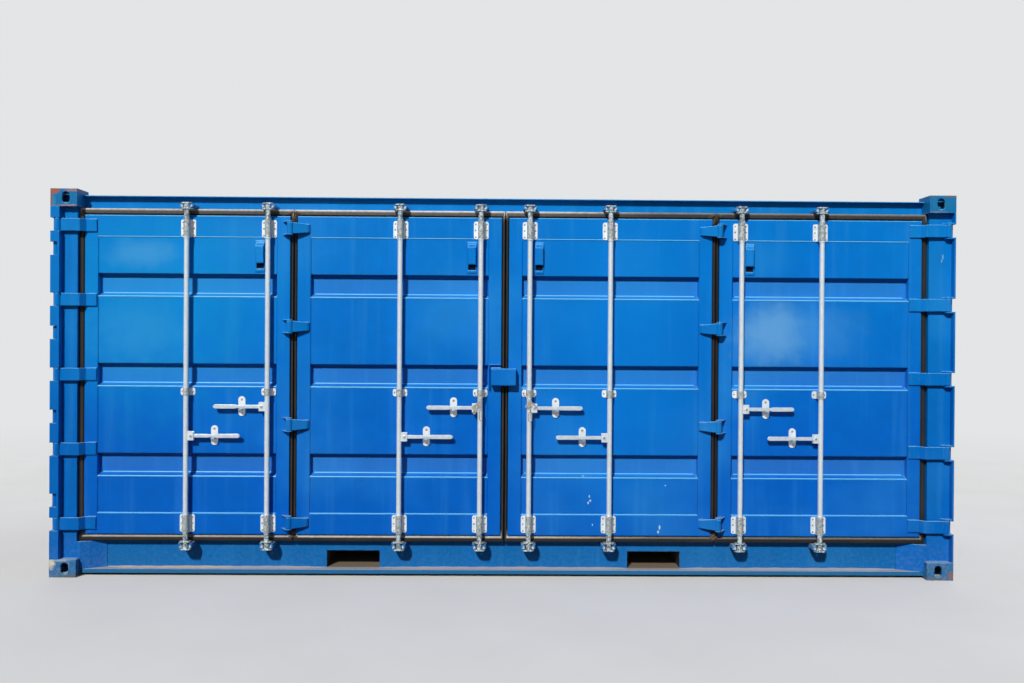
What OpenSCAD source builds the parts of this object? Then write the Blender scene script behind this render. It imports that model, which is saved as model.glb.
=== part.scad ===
// Open-side freight container: 20 ft long, 8 ft 6 in high. The whole of one long
// side is four folding door leaves on eight lock rods, and the left end is a pair of doors.
// +X runs to the right along the door side, -Y faces the person at that side, +Z is up.
// The origin is at the middle of the footprint, on the ground.

/* [Overall] */
// Length over the corner castings
length = 6058; // [5600:1:6500]
// Width over the corner castings
width = 2438; // [2300:1:2600]
// Height over the corner castings
height = 2591; // [2560:1:2640]

/* [Corner castings] */
// Length of a casting along the container
casting_l = 178; // [172:1:185]
// Width of a casting across the container
casting_w = 162; // [155:1:168]
// Height of a casting
casting_h = 118; // [112:1:124]
// Thickness of a casting's side walls
casting_wall = 16; // [12:1:22]
// Thickness of a casting's top and bottom walls
casting_deck = 28; // [24:1:32]
// Distance from the end of the container to a twist-lock aperture's middle
aperture_in_x = 102.5; // [95:0.5:110]
// Distance from the side of the container to a twist-lock aperture's middle
aperture_in_y = 89.5; // [82:0.5:96]
// Length of a twist-lock aperture
aperture_l = 124; // [110:1:128]
// Width of a twist-lock aperture
aperture_w = 63.5; // [58:0.5:68]
// Height of a side hole in a casting
side_hole_h = 79; // [60:1:84]
// Width of a side hole in a casting
side_hole_w = 51; // [44:1:60]

/* [Frame] */
// Thickness of the pressed frame sections
plate = 6; // [4:0.5:8]
// Depth of the rebate between casting face and post face
post_step = 45; // [40:1:48]
// Thickness of the post's outer leg
leg_t = 10; // [8:1:12]
// Width of a door post, from the end to its jamb
post_w = 161; // [150:1:165]
// Depth from the casting face to the face of the header and sill
web_depth = 119; // [116:1:124]
// Height of the floor and of the sill's top above the ground
floor_top = 244; // [238:1:250]
// Height of the header's lower edge below the castings' tops
header_drop = 135; // [128:1:138]
// Height of the roof rails' tops below the castings' tops
rail_drop = 35; // [30:1:40]
// How far the header's lip stands out of its face
lip_out = 40; // [20:1:60]
// Thickness of that lip
lip_t = 5; // [3:0.5:8]
// Gap between the ground and the rails' underside
ground_gap = 17; // [12:1:22]
// Height of the ledge along the sill above the ground
ledge_h = 45; // [40:1:50]
// How far the ledge stands out of the sill's face
ledge_out = 66; // [40:1:80]
// Length of the gusset where the sill meets a post
gusset_l = 160; // [100:1:180]

/* [Fork pockets] */
// Clear width of a fork pocket
pocket_w = 360; // [340:1:380]
// Distance between the fork pockets' middles
pocket_pitch = 2050; // [1900:1:2150]
// Height of a fork pocket's roof above the ground
pocket_top = 160; // [150:1:170]

/* [Floor and walls] */
// Thickness of the floor panels
floor_t = 28; // [21:1:30]
// Joint between floor panels
floor_joint = 3; // [2:0.5:6]
// Number of floor panels along the container
floor_rows = 5; // [3:1:8]
// Width of a cross member's flanges
member_w = 45; // [40:1:60]
// Depth of a cross member
member_h = 150; // [120:1:160]
// Distance between cross members
member_pitch = 300; // [260:5:340]
// Thickness of the corrugated wall sheet
sheet = 3; // [2:0.5:4]
// Depth of the wall's corrugations
wall_depth = 36; // [25:1:45]
// Length of one wall corrugation
wall_pitch = 278; // [240:1:320]
// Depth of the roof's corrugations
roof_depth = 20; // [12:1:22]
// Length of one roof corrugation
roof_pitch = 209; // [180:1:240]

/* [Door leaves] */
// Space between two leaves, which their gaskets fill
leaf_space = 50; // [46:1:56]
// Distance from an outer leaf's hinge edge to the jamb of its post
edge_gap = 41; // [38:1:44]
// Distance from an end door's hinge edge to its corner post
end_edge_gap = 40; // [38:1:42]
// Height of a leaf's lower edge above the floor
leaf_rise = 34; // [30:1:38]
// Gap between a leaf's top edge and the header
leaf_drop = 30; // [26:1:34]
// Depth from the casting face to a leaf's face
leaf_depth = 63; // [60:1:64]
// Thickness of a leaf
leaf_t = 50; // [46:1:52]
// Width of a leaf's stiles
stile_w = 88; // [70:1:100]
// Height of a leaf's top and bottom members
member_band = 142; // [125:1:150]
// Height of a pressed band in a leaf's panel
band_h = 155; // [120:1:180]
// Height of the flat field above the highest band and below the lowest one
band_in = 249.5; // [220:0.5:280]
// Depth of a pressed band
band_depth = 38; // [20:1:42]
// Height of a pressed band's sloping side
band_slope = 24; // [15:1:35]
// How far the panel lies behind the leaf's frame
panel_step = 2; // [1:0.5:4]

/* [Gaskets] */
// How far a gasket reaches above and below its leaf
seal_rise = 44; // [40:1:44]
// Open line left between the gaskets of two neighbouring leaves
seal_gap = 8; // [4:0.5:10]
// How far a gasket reaches towards the door post
seal_post = 35; // [25:1:36]
// Distance from a leaf's face back to its gasket
seal_back = 8; // [6:1:16]
// Gap between a gasket and the frame that it closes against
seal_seat = 0.3; // [0.2:0.1:1]
// Gap left between a gasket's edge and the gussets of the sill
gasket_play = 6; // [5:0.5:8]
// Width of the groove between a gasket's two lips
groove_w = 6; // [3:0.5:9]
// Depth of that groove
groove_d = 8; // [4:0.5:12]

/* [Door hinges] */
// Distance from the end of the container to a post hinge's pin
pin_in = 41; // [38:1:44]
// Distance from the casting face back to a hinge pin
pin_back = 22; // [21.5:0.5:24]
// Radius of a hinge pin
pin_r = 11; // [8:0.5:13]
// Outer radius of a hinge knuckle
knuckle_r = 21; // [18:0.5:21.5]
// Clearance between a pin and its knuckle
pin_play = 0.3; // [0.1:0.1:0.6]
// Thickness of a hinge strap
strap_t = 12; // [8:0.5:14]
// Height of a post hinge's strap
strap_h = 84; // [70:1:90]
// Height of a strap between two leaves at its knuckle
fold_strap_h = 75; // [60:1:80]
// Height of that strap at its end
fold_end_h = 54; // [40:1:60]
// How far the end of that strap stands out of its leaf
fold_foot = 20; // [14:1:24]
// Gap above and below a strap
strap_play = 2; // [1:0.5:4]
// Thickness of a hinge lug
lug_t = 10; // [6:0.5:14]
// Distance from a leaf's lower edge to its lowest post hinge
hinge_low = 76; // [66:1:86]
// Distance from a leaf's top edge to its highest post hinge
hinge_high = 72; // [64:1:82]
// Distance from a leaf's lower edge to the lowest hinge between two leaves
fold_low = 86; // [76:1:96]
// Distance from a leaf's top edge to the highest hinge between two leaves
fold_high = 83.5; // [74:0.5:94]
// Distance from an end door's lower edge to its lowest hinge
end_hinge_low = 235; // [225:1:245]
// Distance from an end door's top edge to its highest hinge
end_hinge_high = 233; // [225:1:245]

/* [Lock rods] */
// Outer radius of a lock rod
rod_r = 17; // [15:0.5:19]
// Distance from a leaf's face to its rods' axes
rod_out = 40; // [38:1:41]
// Distance from a leaf's free edge to its nearer rod
rod_near = 140; // [120:1:160]
// Distance between a side leaf's two rods
rod_pitch = 542; // [480:1:580]
// Clearance between a rod and its guides
rod_play = 0.3; // [0.1:0.1:0.6]
// Height of a cam above or below its leaf's edge, at its nearer bar
cam_off = 40; // [38:1:44]
// Distance between the two bars of a rod's upper cam
cam_pitch = 37; // [35:1:40]
// Distance between the two bars of a rod's lower cam
low_cam_pitch = 50; // [40:1:54]
// Thickness of a cam bar
bar_t = 8; // [6:0.5:9]
// Length of a cam bar
bar_l = 77; // [64:1:84]
// Width of a cam bar
bar_w = 44; // [38:1:45]
// Gap between a rod and the keeper's cheeks beside it
keeper_play = 5; // [5:0.5:8]
// Gap between a cam bar and the cheeks above or below it
cheek_play = 5; // [4:0.5:7]
// Width of a keeper cheek, whose nose is round
cheek_w = 26; // [16:1:30]
// Thickness of the plate that joins a keeper's cheeks on the frame
keeper_plate = 6; // [4:0.5:8]
// Height of a long rod guide
guide_h = 118; // [90:1:130]
// Width of a rod guide
guide_w = 100; // [84:1:110]
// Height of the short guide at mid height
mid_guide_h = 50; // [36:1:60]
// Distance from a leaf's edge to the middle of its long guides
guide_in = 77; // [64:1:90]
// Height of the middle guides
mid_guide_z = 1241; // [1230:1:1244]
// Thickness of a guide's plates
guide_t = 4; // [3:0.5:4.5]
// Radius of a guide's corners
guide_corner = 13; // [6:1:16]

/* [Handles] */
// Height of the handles on the rods next to a free edge
handle_high = 1144; // [1130:1:1160]
// Height of the handles on the other rods
handle_low = 947; // [930:1:960]
// Reach of a handle from its rod's axis
handle_l = 360; // [320:1:400]
// Height of a handle's grip
handle_h = 28; // [22:1:32]
// Thickness of a handle
handle_t = 12; // [8:0.5:13]
// Distance from a rod's axis to its handle's rivet
rivet_off = 36; // [34:1:40]
// Distance from a rod's axis to the handle's catch
catch_off = 180; // [150:1:210]

/* [Hidden] */

$fn = 48;
e = 0.5;
blue = [0.02, 0.36, 0.75];
zinc = [0.78, 0.8, 0.82];
rubber = [0.16, 0.16, 0.17];
wood = [0.6, 0.47, 0.33];

half_l = length / 2;
half_w = width / 2;
front = -half_w;
post_top = height - casting_h;
rail_top = height - rail_drop;
opening_top = height - header_drop;
inner_x = half_l - casting_l;
inner_y = half_w - casting_w;
web_y = front + web_depth;
face_y = front + leaf_depth;
leaf_z = floor_top + leaf_rise;
leaf_top = opening_top - leaf_drop;
leaf_h = leaf_top - leaf_z;
rod_y = face_y - rod_out;
pin_x = half_l - pin_in;
pin_y = front + pin_back;
jamb_x = half_l - post_w;
// Foot of the bottom rails, tubes of the top rails and how far the walls lie inside them
rail_foot = 50;
tube_w = 60;
end_tube_h = 100;
wall_in = 12;

free_x = leaf_space / 2;
leaf_w = (jamb_x - edge_gap - 3 * free_x) / 2;
fold_x = free_x + leaf_w;
outer_free_x = fold_x + leaf_space;
outer_hinge_x = outer_free_x + leaf_w;
fold_pin_x = fold_x + leaf_space - seal_gap;
seal_side = (leaf_space - seal_gap) / 2;
band_pitch = (leaf_h - 2 * member_band - band_h) / 2 - band_in;
band_mid = leaf_z + leaf_h / 2;
low_guide_z = leaf_z + guide_in;
high_guide_z = leaf_top - guide_in - 10;
handle_bar = handle_h - 4;
waist_h = handle_h - 10;
// Collars on a rod, and the fork that holds its handle
collar_h = 10;
hub_l = 54;
hub_h = 60;
hub_t = 5;
hub_play = 1;
rivet_r = 7;
rivet_head_h = 5;
// Gap between a rod and the bars that are fixed on it
weld_play = 0.05;
// Gap between the lock hood and the leaf that it reaches over
lock_play = 5;

end_leaf_space = 50;
end_leaf_w = inner_y - end_edge_gap - end_leaf_space / 2;
end_face = -half_l + leaf_depth;
end_rods = [rod_near, end_leaf_w - rod_near];
strap_end = 82;
fold_lug_t = lug_t - 2;

// Heights of n hinges from lo above a leaf's lower edge to hi below its top edge
function hinge_heights(n, lo, hi) =
    [for (i = [0:n - 1]) leaf_z + lo + i * (leaf_h - lo - hi) / (n - 1)];
hinge_zs = hinge_heights(5, hinge_low, hinge_high);
fold_zs = hinge_heights(4, fold_low, fold_high);
end_hinge_zs = hinge_heights(4, end_hinge_low, end_hinge_high);
rod_xs = [free_x + rod_near, free_x + rod_near + rod_pitch,
          outer_free_x + rod_near, outer_free_x + rod_near + rod_pitch];

// Children on the right, or mirrored to the left
module on_side(side) {
    if (side < 0) mirror([1, 0, 0]) children();
    else children();
}

// A slot with round ends, long by l and wide by w, through a plate of thickness t
module slot(l, w, t) {
    union() {
        translate([-(l - w) / 2, -w / 2, 0]) cube([l - w, w, t]);
        for (s = [-1, 1]) translate([s * (l - w) / 2, 0, 0]) cylinder(h = t, d = w);
    }
}

// One corner casting, its outer corner at the origin and its body towards -X and +Y
module casting(top) {
    hole_z = casting_h / 2;
    slot_x = -aperture_in_x;
    slot_y = aperture_in_y;
    difference() {
        translate([-casting_l, 0, 0]) cube([casting_l, casting_w, casting_h]);
        translate([-casting_l + casting_wall, casting_wall, casting_deck])
            cube([casting_l - 2 * casting_wall, casting_w - 2 * casting_wall,
                  casting_h - 2 * casting_deck]);
        translate([slot_x, slot_y, top ? casting_h - casting_deck - e : -e])
            slot(aperture_l, aperture_w, casting_deck + 2 * e);
        translate([slot_x, casting_wall + e, hole_z]) rotate([90, 0, 0]) rotate([0, 0, 90])
            slot(side_hole_h, side_hole_w, casting_wall + 2 * e);
        translate([-casting_wall - e, slot_y, hole_z]) rotate([0, 90, 0])
            slot(side_hole_h - 15, side_hole_w, casting_wall + 2 * e);
    }
}

module castings(top) {
    for (sx = [-1, 1]) for (sy = [-1, 1])
        mirror([sx < 0 ? 1 : 0, 0, 0]) mirror([0, sy > 0 ? 1 : 0, 0])
            translate([half_l, front, top ? height - casting_h : 0]) casting(top);
}

module top_castings() { color(blue) castings(true); }
module bottom_castings() { color(blue) castings(false); }

// Section of a right door post: outer leg, face, jamb and the stop behind the leaf
module post_section() {
    polygon([[half_l, front], [half_l, -inner_y], [inner_x, -inner_y], [inner_x, web_y],
             [jamb_x, web_y], [jamb_x, front + post_step],
             [half_l - leg_t, front + post_step], [half_l - leg_t, front]]);
}

module post_hollow() {
    polygon([[half_l - plate, front + post_step + plate], [half_l - plate, -inner_y - plate],
             [inner_x + plate, -inner_y - plate], [inner_x + plate, web_y + plate],
             [jamb_x + plate, web_y + plate], [jamb_x + plate, front + post_step + plate]]);
}

module post_tube() {
    translate([0, 0, casting_h]) linear_extrude(post_top - casting_h)
        difference() { post_section(); post_hollow(); }
}

// Cut through the outer leg, where a strap swings
module strap_notch(z, h) {
    translate([pin_x - pin_r, front - e, z - h / 2]) cube([pin_in + pin_r + e, post_step + e, h]);
}

module post_pin(z, h) {
    translate([pin_x, pin_y, z - h / 2]) cylinder(h = h, r = pin_r);
}

// Plate that carries one end of a pin on the right post
module post_lug(z) {
    rim_r = pin_r + 6;
    reach = 30;
    translate([0, 0, z]) linear_extrude(lug_t)
        union() {
            translate([pin_x, pin_y]) circle(r = rim_r);
            polygon([[half_l - leg_t - e, front + 2], [pin_x + 4, front + 4],
                     [pin_x - rim_r, pin_y + 2], [pin_x - reach, front + post_step + e],
                     [half_l - leg_t - e, front + post_step + e]]);
        }
}

module right_door_post() {
    gap = strap_h + 2 * strap_play;
    color(blue) union() {
        difference() {
            post_tube();
            for (z = hinge_zs) strap_notch(z, gap);
        }
        for (z = hinge_zs) {
            post_lug(z - gap / 2 - lug_t);
            post_lug(z + gap / 2);
            post_pin(z, gap + 2 * lug_t);
        }
    }
}

// The left post carries side and end doors: a column of blocks at the corner holds the pins
// of both, and the post's body stands behind it
module left_door_post() {
    gap = strap_h + 2 * strap_play;
    column_w = 60;
    reach = column_w + 2 * gasket_play;
    body = half_l - post_step;
    color(blue) mirror([1, 0, 0]) union() {
        difference() {
            translate([0, 0, casting_h]) linear_extrude(post_top - casting_h) difference() {
                union() {
                    polygon([[body, front + post_step], [body, -inner_y], [inner_x, -inner_y],
                             [inner_x, web_y], [jamb_x, web_y], [jamb_x, front + post_step]]);
                    translate([half_l - column_w, front]) square(column_w);
                }
                polygon([[body - plate, front + post_step + plate], [body - plate, -inner_y - plate],
                         [inner_x + plate, -inner_y - plate], [inner_x + plate, web_y + plate],
                         [jamb_x + plate, web_y + plate],
                         [jamb_x + plate, front + post_step + plate]]);
            }
            for (z = hinge_zs) translate([half_l - reach, front - e, z - gap / 2])
                cube([reach + e, post_step + e, gap]);
            for (z = end_hinge_zs) translate([half_l - post_step, front - e, z - gap / 2])
                cube([post_step + e, reach + e, gap]);
        }
        for (z = hinge_zs) post_pin(z, gap + 2);
        for (z = end_hinge_zs) end_pin(-1, z, gap + 2);
        end_stop();
    }
}

// Pin of an end door's hinge in a corner post, at the front (-1) or at the back (1)
module end_pin(side, z, h) {
    translate([half_l - pin_back, side * (half_w - pin_in), z - h / 2]) cylinder(h = h, r = pin_r);
}

// Strip that an end door's edge closes against
module end_stop() {
    translate([half_l - web_depth - casting_wall, -inner_y - e, floor_top])
        cube([casting_wall, casting_wall + e, opening_top - floor_top]);
}

module back_posts() {
    gap = strap_h + 2 * strap_play;
    lug_w = 60;
    lug_in = 6;
    color(blue) {
        // Right: a plain pressed section between the back and the end wall
        difference() {
            translate([inner_x, inner_y, casting_h])
                cube([casting_l, casting_w, post_top - casting_h]);
            translate([inner_x + plate, inner_y + plate, casting_h - e])
                cube([casting_l - 2 * plate, casting_w - 2 * plate, post_top - casting_h + 2 * e]);
        }
        // Left: the end doors' other hinge post
        mirror([1, 0, 0]) union() {
            difference() {
                translate([0, 0, casting_h]) linear_extrude(post_top - casting_h) difference() {
                    polygon([[half_l, half_w], [inner_x, half_w], [inner_x, inner_y],
                             [half_l - post_step, inner_y], [half_l - post_step, half_w - leg_t],
                             [half_l, half_w - leg_t]]);
                    polygon([[half_l - post_step - plate, half_w - leg_t - plate],
                             [inner_x + plate, half_w - leg_t - plate],
                             [inner_x + plate, inner_y + plate],
                             [half_l - post_step - plate, inner_y + plate]]);
                }
                for (z = end_hinge_zs) translate([half_l - post_step, half_w - leg_t - e, z - gap / 2])
                    cube([post_step + e, leg_t + 2 * e, gap]);
            }
            for (z = end_hinge_zs) for (s = [-1, 1])
                translate([half_l - post_step - e, half_w - lug_w,
                           z + s * (gap + lug_t) / 2 - lug_t / 2])
                    cube([post_step - lug_in, lug_w - leg_t + e, lug_t]);
            for (z = end_hinge_zs) end_pin(1, z, gap + 2);
            mirror([0, 1, 0]) end_stop();
        }
    }
}

// Section of the sill in Y and Z: ledge with its front lip, web and top flange
module sill_section() {
    lip = web_y - ledge_out;
    polygon([[lip, ground_gap], [lip + plate, ground_gap], [lip + plate, ledge_h - plate],
             [web_y + plate, ledge_h - plate], [web_y + plate, floor_top - plate],
             [-inner_y, floor_top - plate], [-inner_y, floor_top], [web_y, floor_top],
             [web_y, ledge_h], [lip, ledge_h]]);
}

// A Y and Z section carried along X from x0 to x1
module along_x(x0, x1) {
    translate([x0, 0, 0]) rotate([90, 0, 90]) linear_extrude(x1 - x0) children();
}

// An X and Z section carried along Y from y0 to y1
module along_y(y0, y1) {
    translate([0, y1, 0]) rotate([90, 0, 0]) linear_extrude(y1 - y0) children();
}

module pocket_cut(y0, y1) {
    for (s = [-1, 1]) translate([s * pocket_pitch / 2 - pocket_w / 2, y0, ledge_h])
        cube([pocket_w, y1 - y0, pocket_top - ledge_h]);
}

module front_sill() {
    color(blue) difference() {
        along_x(-inner_x, inner_x) sill_section();
        pocket_cut(web_y - e, web_y + plate + e);
    }
}

// Sloping plates that carry the sill's face forward to the posts, below the door leaves
module sill_gussets() {
    top = leaf_z - seal_rise - gasket_play;
    color(blue) for (side = [-1, 1]) on_side(side) union() {
        translate([0, 0, ledge_h]) linear_extrude(top - ledge_h)
            polygon([[inner_x, web_y], [inner_x - gusset_l, web_y],
                     [inner_x - plate, front + post_step], [inner_x, front + post_step]]);
        translate([inner_x - e, front + post_step, casting_h])
            cube([jamb_x - inner_x + e, web_depth - post_step, top - casting_h]);
    }
}

module front_header() {
    flange_in = 20;
    back = -inner_y + flange_in;
    color(blue) along_x(-inner_x, inner_x)
        polygon([[web_y - lip_out, rail_top - lip_t], [web_y - lip_out, rail_top],
                 [back, rail_top], [back, rail_top - plate], [web_y + plate, rail_top - plate],
                 [web_y + plate, opening_top + plate], [back, opening_top + plate],
                 [back, opening_top], [web_y, opening_top], [web_y, rail_top - lip_t]]);
}

module back_bottom_rail() {
    back = half_w - leg_t;
    foot = rail_foot;
    color(blue) difference() {
        along_x(-inner_x, inner_x)
            polygon([[back - foot, ground_gap], [back, ground_gap], [back, floor_top],
                     [inner_y, floor_top], [inner_y, floor_top - plate],
                     [back - plate, floor_top - plate], [back - plate, ground_gap + plate],
                     [back - foot, ground_gap + plate]]);
        pocket_cut(back - plate - e, back + e);
    }
}

module back_top_rail() {
    color(blue) along_x(-inner_x, inner_x) difference() {
        translate([half_w - leg_t - tube_w, rail_top - tube_w]) square([tube_w, tube_w]);
        translate([half_w - leg_t - tube_w + plate, rail_top - tube_w + plate])
            square([tube_w - 2 * plate, tube_w - 2 * plate]);
    }
}

module end_wall_rails() {
    out = half_l - leg_t;
    color(blue) along_y(-inner_y, inner_y) {
        polygon([[out - rail_foot, ground_gap], [out, ground_gap], [out, floor_top],
                 [inner_x, floor_top], [inner_x, floor_top - plate], [out - plate, floor_top - plate],
                 [out - plate, ground_gap + plate], [out - rail_foot, ground_gap + plate]]);
        difference() {
            translate([out - tube_w, rail_top - end_tube_h]) square([tube_w, end_tube_h]);
            translate([out - tube_w + plate, rail_top - end_tube_h + plate])
                square([tube_w - 2 * plate, end_tube_h - 2 * plate]);
        }
    }
}

module end_door_sill() {
    web = -half_l + web_depth;
    lip = web - ledge_out;
    color(blue) along_y(-inner_y, inner_y)
        polygon([[lip, ground_gap], [lip + plate, ground_gap], [lip + plate, ledge_h - plate],
                 [web + plate, ledge_h - plate], [web + plate, floor_top - plate],
                 [-inner_x, floor_top - plate], [-inner_x, floor_top], [web, floor_top],
                 [web, ledge_h], [lip, ledge_h]]);
}

module end_door_header() {
    web = -half_l + web_depth;
    back = -inner_x;
    color(blue) along_y(-inner_y, inner_y)
        polygon([[web - lip_out, rail_top - lip_t], [web - lip_out, rail_top], [back, rail_top],
                 [back, rail_top - plate], [web + plate, rail_top - plate],
                 [web + plate, opening_top + plate], [back, opening_top + plate],
                 [back, opening_top], [web, opening_top], [web, rail_top - lip_t]]);
}

// Pressed channels across the container, left out where the fork pockets run
module cross_members() {
    y0 = web_y + plate;
    y1 = half_w - leg_t - plate;
    z1 = floor_top - floor_t;
    web = 4;
    count = floor((2 * inner_x - member_pitch) / member_pitch / 2) * 2;
    color(blue) for (i = [0:count - 1]) {
        x = (i - (count - 1) / 2) * member_pitch;
        if (abs(abs(x) - pocket_pitch / 2) > pocket_w / 2 + plate + member_w)
            along_y(y0, y1) translate([x - member_w / 2, z1 - member_h])
                difference() {
                    square([member_w, member_h]);
                    translate([web, web]) square([member_w, member_h - 2 * web]);
                }
    }
}

// Steel ducts that the forks go through
module fork_pockets() {
    y0 = web_y + plate;
    y1 = half_w - leg_t - plate;
    z1 = floor_top - floor_t;
    color(blue) for (s = [-1, 1]) translate([s * pocket_pitch / 2, 0, 0])
        along_y(y0, y1) difference() {
            translate([-pocket_w / 2 - plate, ledge_h - plate])
                square([pocket_w + 2 * plate, z1 - ledge_h + plate]);
            translate([-pocket_w / 2, ledge_h]) square([pocket_w, pocket_top - ledge_h]);
            translate([-pocket_w / 2, pocket_top + plate])
                square([pocket_w, z1 - pocket_top - 2 * plate]);
        }
}

module floor_panels() {
    x0 = -inner_x;
    y0 = -inner_y + floor_joint;
    long = (2 * inner_x - (floor_rows - 1) * floor_joint) / floor_rows;
    wide = (2 * inner_y - 3 * floor_joint) / 2;
    color(wood) for (i = [0:floor_rows - 1]) for (j = [0, 1])
        translate([x0 + i * (long + floor_joint), y0 + j * (wide + floor_joint),
                   floor_top - floor_t])
            cube([long, wide, floor_t]);
}

// Corrugated roof: crests pressed up out of one flat sheet, sloping on all four sides
module roof_crests(drop) {
    plain_end = 60;
    count = floor((2 * inner_x - 2 * plain_end) / roof_pitch);
    top = roof_pitch * 0.28;
    foot = roof_pitch * 0.4;
    y_in = inner_y - plain_end;
    intersection() {
        along_y(-half_w, half_w) for (i = [0:count - 1])
            translate([(i - (count - 1) / 2) * roof_pitch, rail_top - drop])
                polygon([[-foot + drop, 0], [-top + drop, roof_depth], [top - drop, roof_depth],
                         [foot - drop, 0]]);
        along_x(-half_l, half_l) translate([0, rail_top - drop])
            polygon([[-inner_y + drop, 0], [-y_in + drop, roof_depth],
                     [y_in - drop, roof_depth], [inner_y - drop, 0]]);
    }
}

module roof() {
    lap = 20;
    seam = 0.3;
    edge = web_y - lip_out + plate;
    color(blue) translate([0, 0, sheet]) {
        difference() {
            union() {
                translate([-inner_x - lap, edge, rail_top - sheet])
                    cube([2 * inner_x + lap, half_w - leg_t - edge, sheet]);
                roof_crests(0);
            }
            roof_crests(sheet);
            for (s = [-1, 1])
                translate([-(inner_x + half_l) / 2, s * (inner_y + half_w) / 2, rail_top])
                    cube([casting_l, casting_w, casting_h], center = true);
        }
        // Strip between the two right castings, welded on at the sheet's end
        translate([inner_x + seam, -inner_y, rail_top - sheet])
            cube([casting_l - leg_t - seam, 2 * inner_y, sheet]);
    }
}

// Trapezoid wave of a corrugated wall in plan, from 0 to l, its outer faces at v = 0. Its flats
// and slopes are about a quarter of a wave each.
wave_at = [0.13, 0.37, 0.63, 0.87];
function wave(l, n, p, d, v) = concat([[0, v]],
    [for (i = [0:n - 1]) let (u = (l - n * p) / 2 + i * p)
        each [[u + wave_at[0] * p, v], [u + wave_at[1] * p, v + d],
              [u + wave_at[2] * p, v + d], [u + wave_at[3] * p, v]]],
    [[l, v]]);
function backwards(a) = [for (i = [len(a) - 1:-1:0]) a[i]];

module wall_sheet(l, h) {
    n = floor(l / wall_pitch);
    linear_extrude(h) polygon(concat(wave(l, n, wall_pitch, wall_depth - sheet, 0),
        backwards(wave(l, n, wall_pitch, wall_depth - sheet, sheet))));
}

module back_wall() {
    color(blue) translate([inner_x, half_w - leg_t - wall_in, floor_top]) rotate([0, 0, 180])
        wall_sheet(2 * inner_x, rail_top - tube_w - floor_top);
}

module end_wall() {
    color(blue) translate([half_l - leg_t - wall_in, -inner_y, floor_top]) rotate([0, 0, 90])
        wall_sheet(2 * inner_y, rail_top - end_tube_h - floor_top);
}

// Outline of a leaf's pressed panel in depth and height
function bands(d) = [for (i = [-1, 0, 1]) let (z = band_mid + i * band_pitch, h = band_h / 2)
    each [[d, z - h], [d + band_depth, z - h + band_slope],
          [d + band_depth, z + h - band_slope], [d, z + h]]];

// A door leaf: welded box frame round a sheet with three pressed bands.
// x runs from the free edge to the hinge edge, y from the face inwards.
module leaf(w) {
    z0 = leaf_z + member_band;
    z1 = leaf_top - member_band;
    back = backwards(bands(panel_step + sheet));
    union() {
        difference() {
            translate([0, 0, leaf_z]) cube([w, leaf_t, leaf_h]);
            translate([stile_w, -e, z0]) cube([w - 2 * stile_w, leaf_t + 2 * e, z1 - z0]);
        }
        along_x(stile_w - e, w - stile_w + e)
            polygon(concat([[panel_step, z0 - e]], bands(panel_step), [[panel_step, z1 + e]],
                [[panel_step + sheet, z1 + e]], back, [[panel_step + sheet, z0 - e]]));
    }
}

// Slab with the outline of a leaf grown by lo, hi along x and rise above and below
module slab(w, lo, hi, rise, y, t) {
    translate([-lo, y, leaf_z - rise]) cube([w + lo + hi, t, leaf_h + 2 * rise]);
}

// Rubber ring round a leaf, with a groove between its two lips
module gasket_ring(w, lo, hi, rise) {
    t = web_depth - leaf_depth - seal_seat - seal_back;
    g = groove_w / 2;
    difference() {
        slab(w, lo, hi, rise, seal_back, t);
        slab(w, 0, 0, 0, seal_back - e, t + 2 * e);
        difference() {
            slab(w, lo / 2 + g, hi / 2 + g, rise / 2 + g, seal_back - e, groove_d + e);
            slab(w, lo / 2 - g, hi / 2 - g, rise / 2 - g, seal_back - 2 * e, groove_d + 3 * e);
        }
    }
}

// Post hinge's strap, bent from its knuckle back onto a leaf's face. It points to -X.
module post_strap() {
    half = strap_t / 2;
    bend_x = outer_hinge_x + 15;
    end_x = outer_hinge_x - strap_end;
    foot_y = face_y - strap_t + 2;
    linear_extrude(strap_h) difference() {
        union() {
            translate([pin_x, pin_y]) circle(r = knuckle_r);
            polygon([[pin_x, pin_y - half], [bend_x, pin_y - half], [bend_x - 28, foot_y],
                     [end_x, foot_y], [end_x, face_y], [bend_x - 22, face_y],
                     [bend_x + half, pin_y + half], [pin_x, pin_y + half]]);
        }
        translate([pin_x, pin_y]) circle(r = pin_r + pin_play);
    }
}

// Cover over a small ventilation opening: flange and hood, open below
module vent_cover(x) {
    w = 62;
    h = 208;
    hood_h = 150;
    out = 25;
    t = 3;
    y = face_y + panel_step;
    top = leaf_top - member_band - 26.5;
    union() {
        translate([x - w / 2, y - t, top - h]) difference() {
            cube([w, t, h]);
            translate([2 * t, -e, 22]) cube([w - 4 * t, t + 2 * e, 36]);
        }
        along_x(x - w / 2 + t, x + w / 2 - t) difference() {
            polygon([[y - t + 1, top - 12], [y - 2 * t, top - 14], [y - out, top - 34],
                     [y - out, top - hood_h], [y - t + 1, top - hood_h]]);
            polygon([[y - t - 2, top - 20], [y - out + t, top - 36],
                     [y - out + t, top - hood_h - e], [y - t - 2, top - hood_h - e]]);
        }
    }
}

// Painted steel of the four side leaves. The outer ones hang on the posts, the inner ones
// on the outer ones.
module side_door_leaves() {
    color(blue) for (side = [-1, 1]) for (x0 = [free_x, outer_free_x]) on_side(side) {
        translate([x0, face_y, 0]) leaf(leaf_w);
        vent_cover(x0 + rod_near + 62);
    }
}

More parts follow.
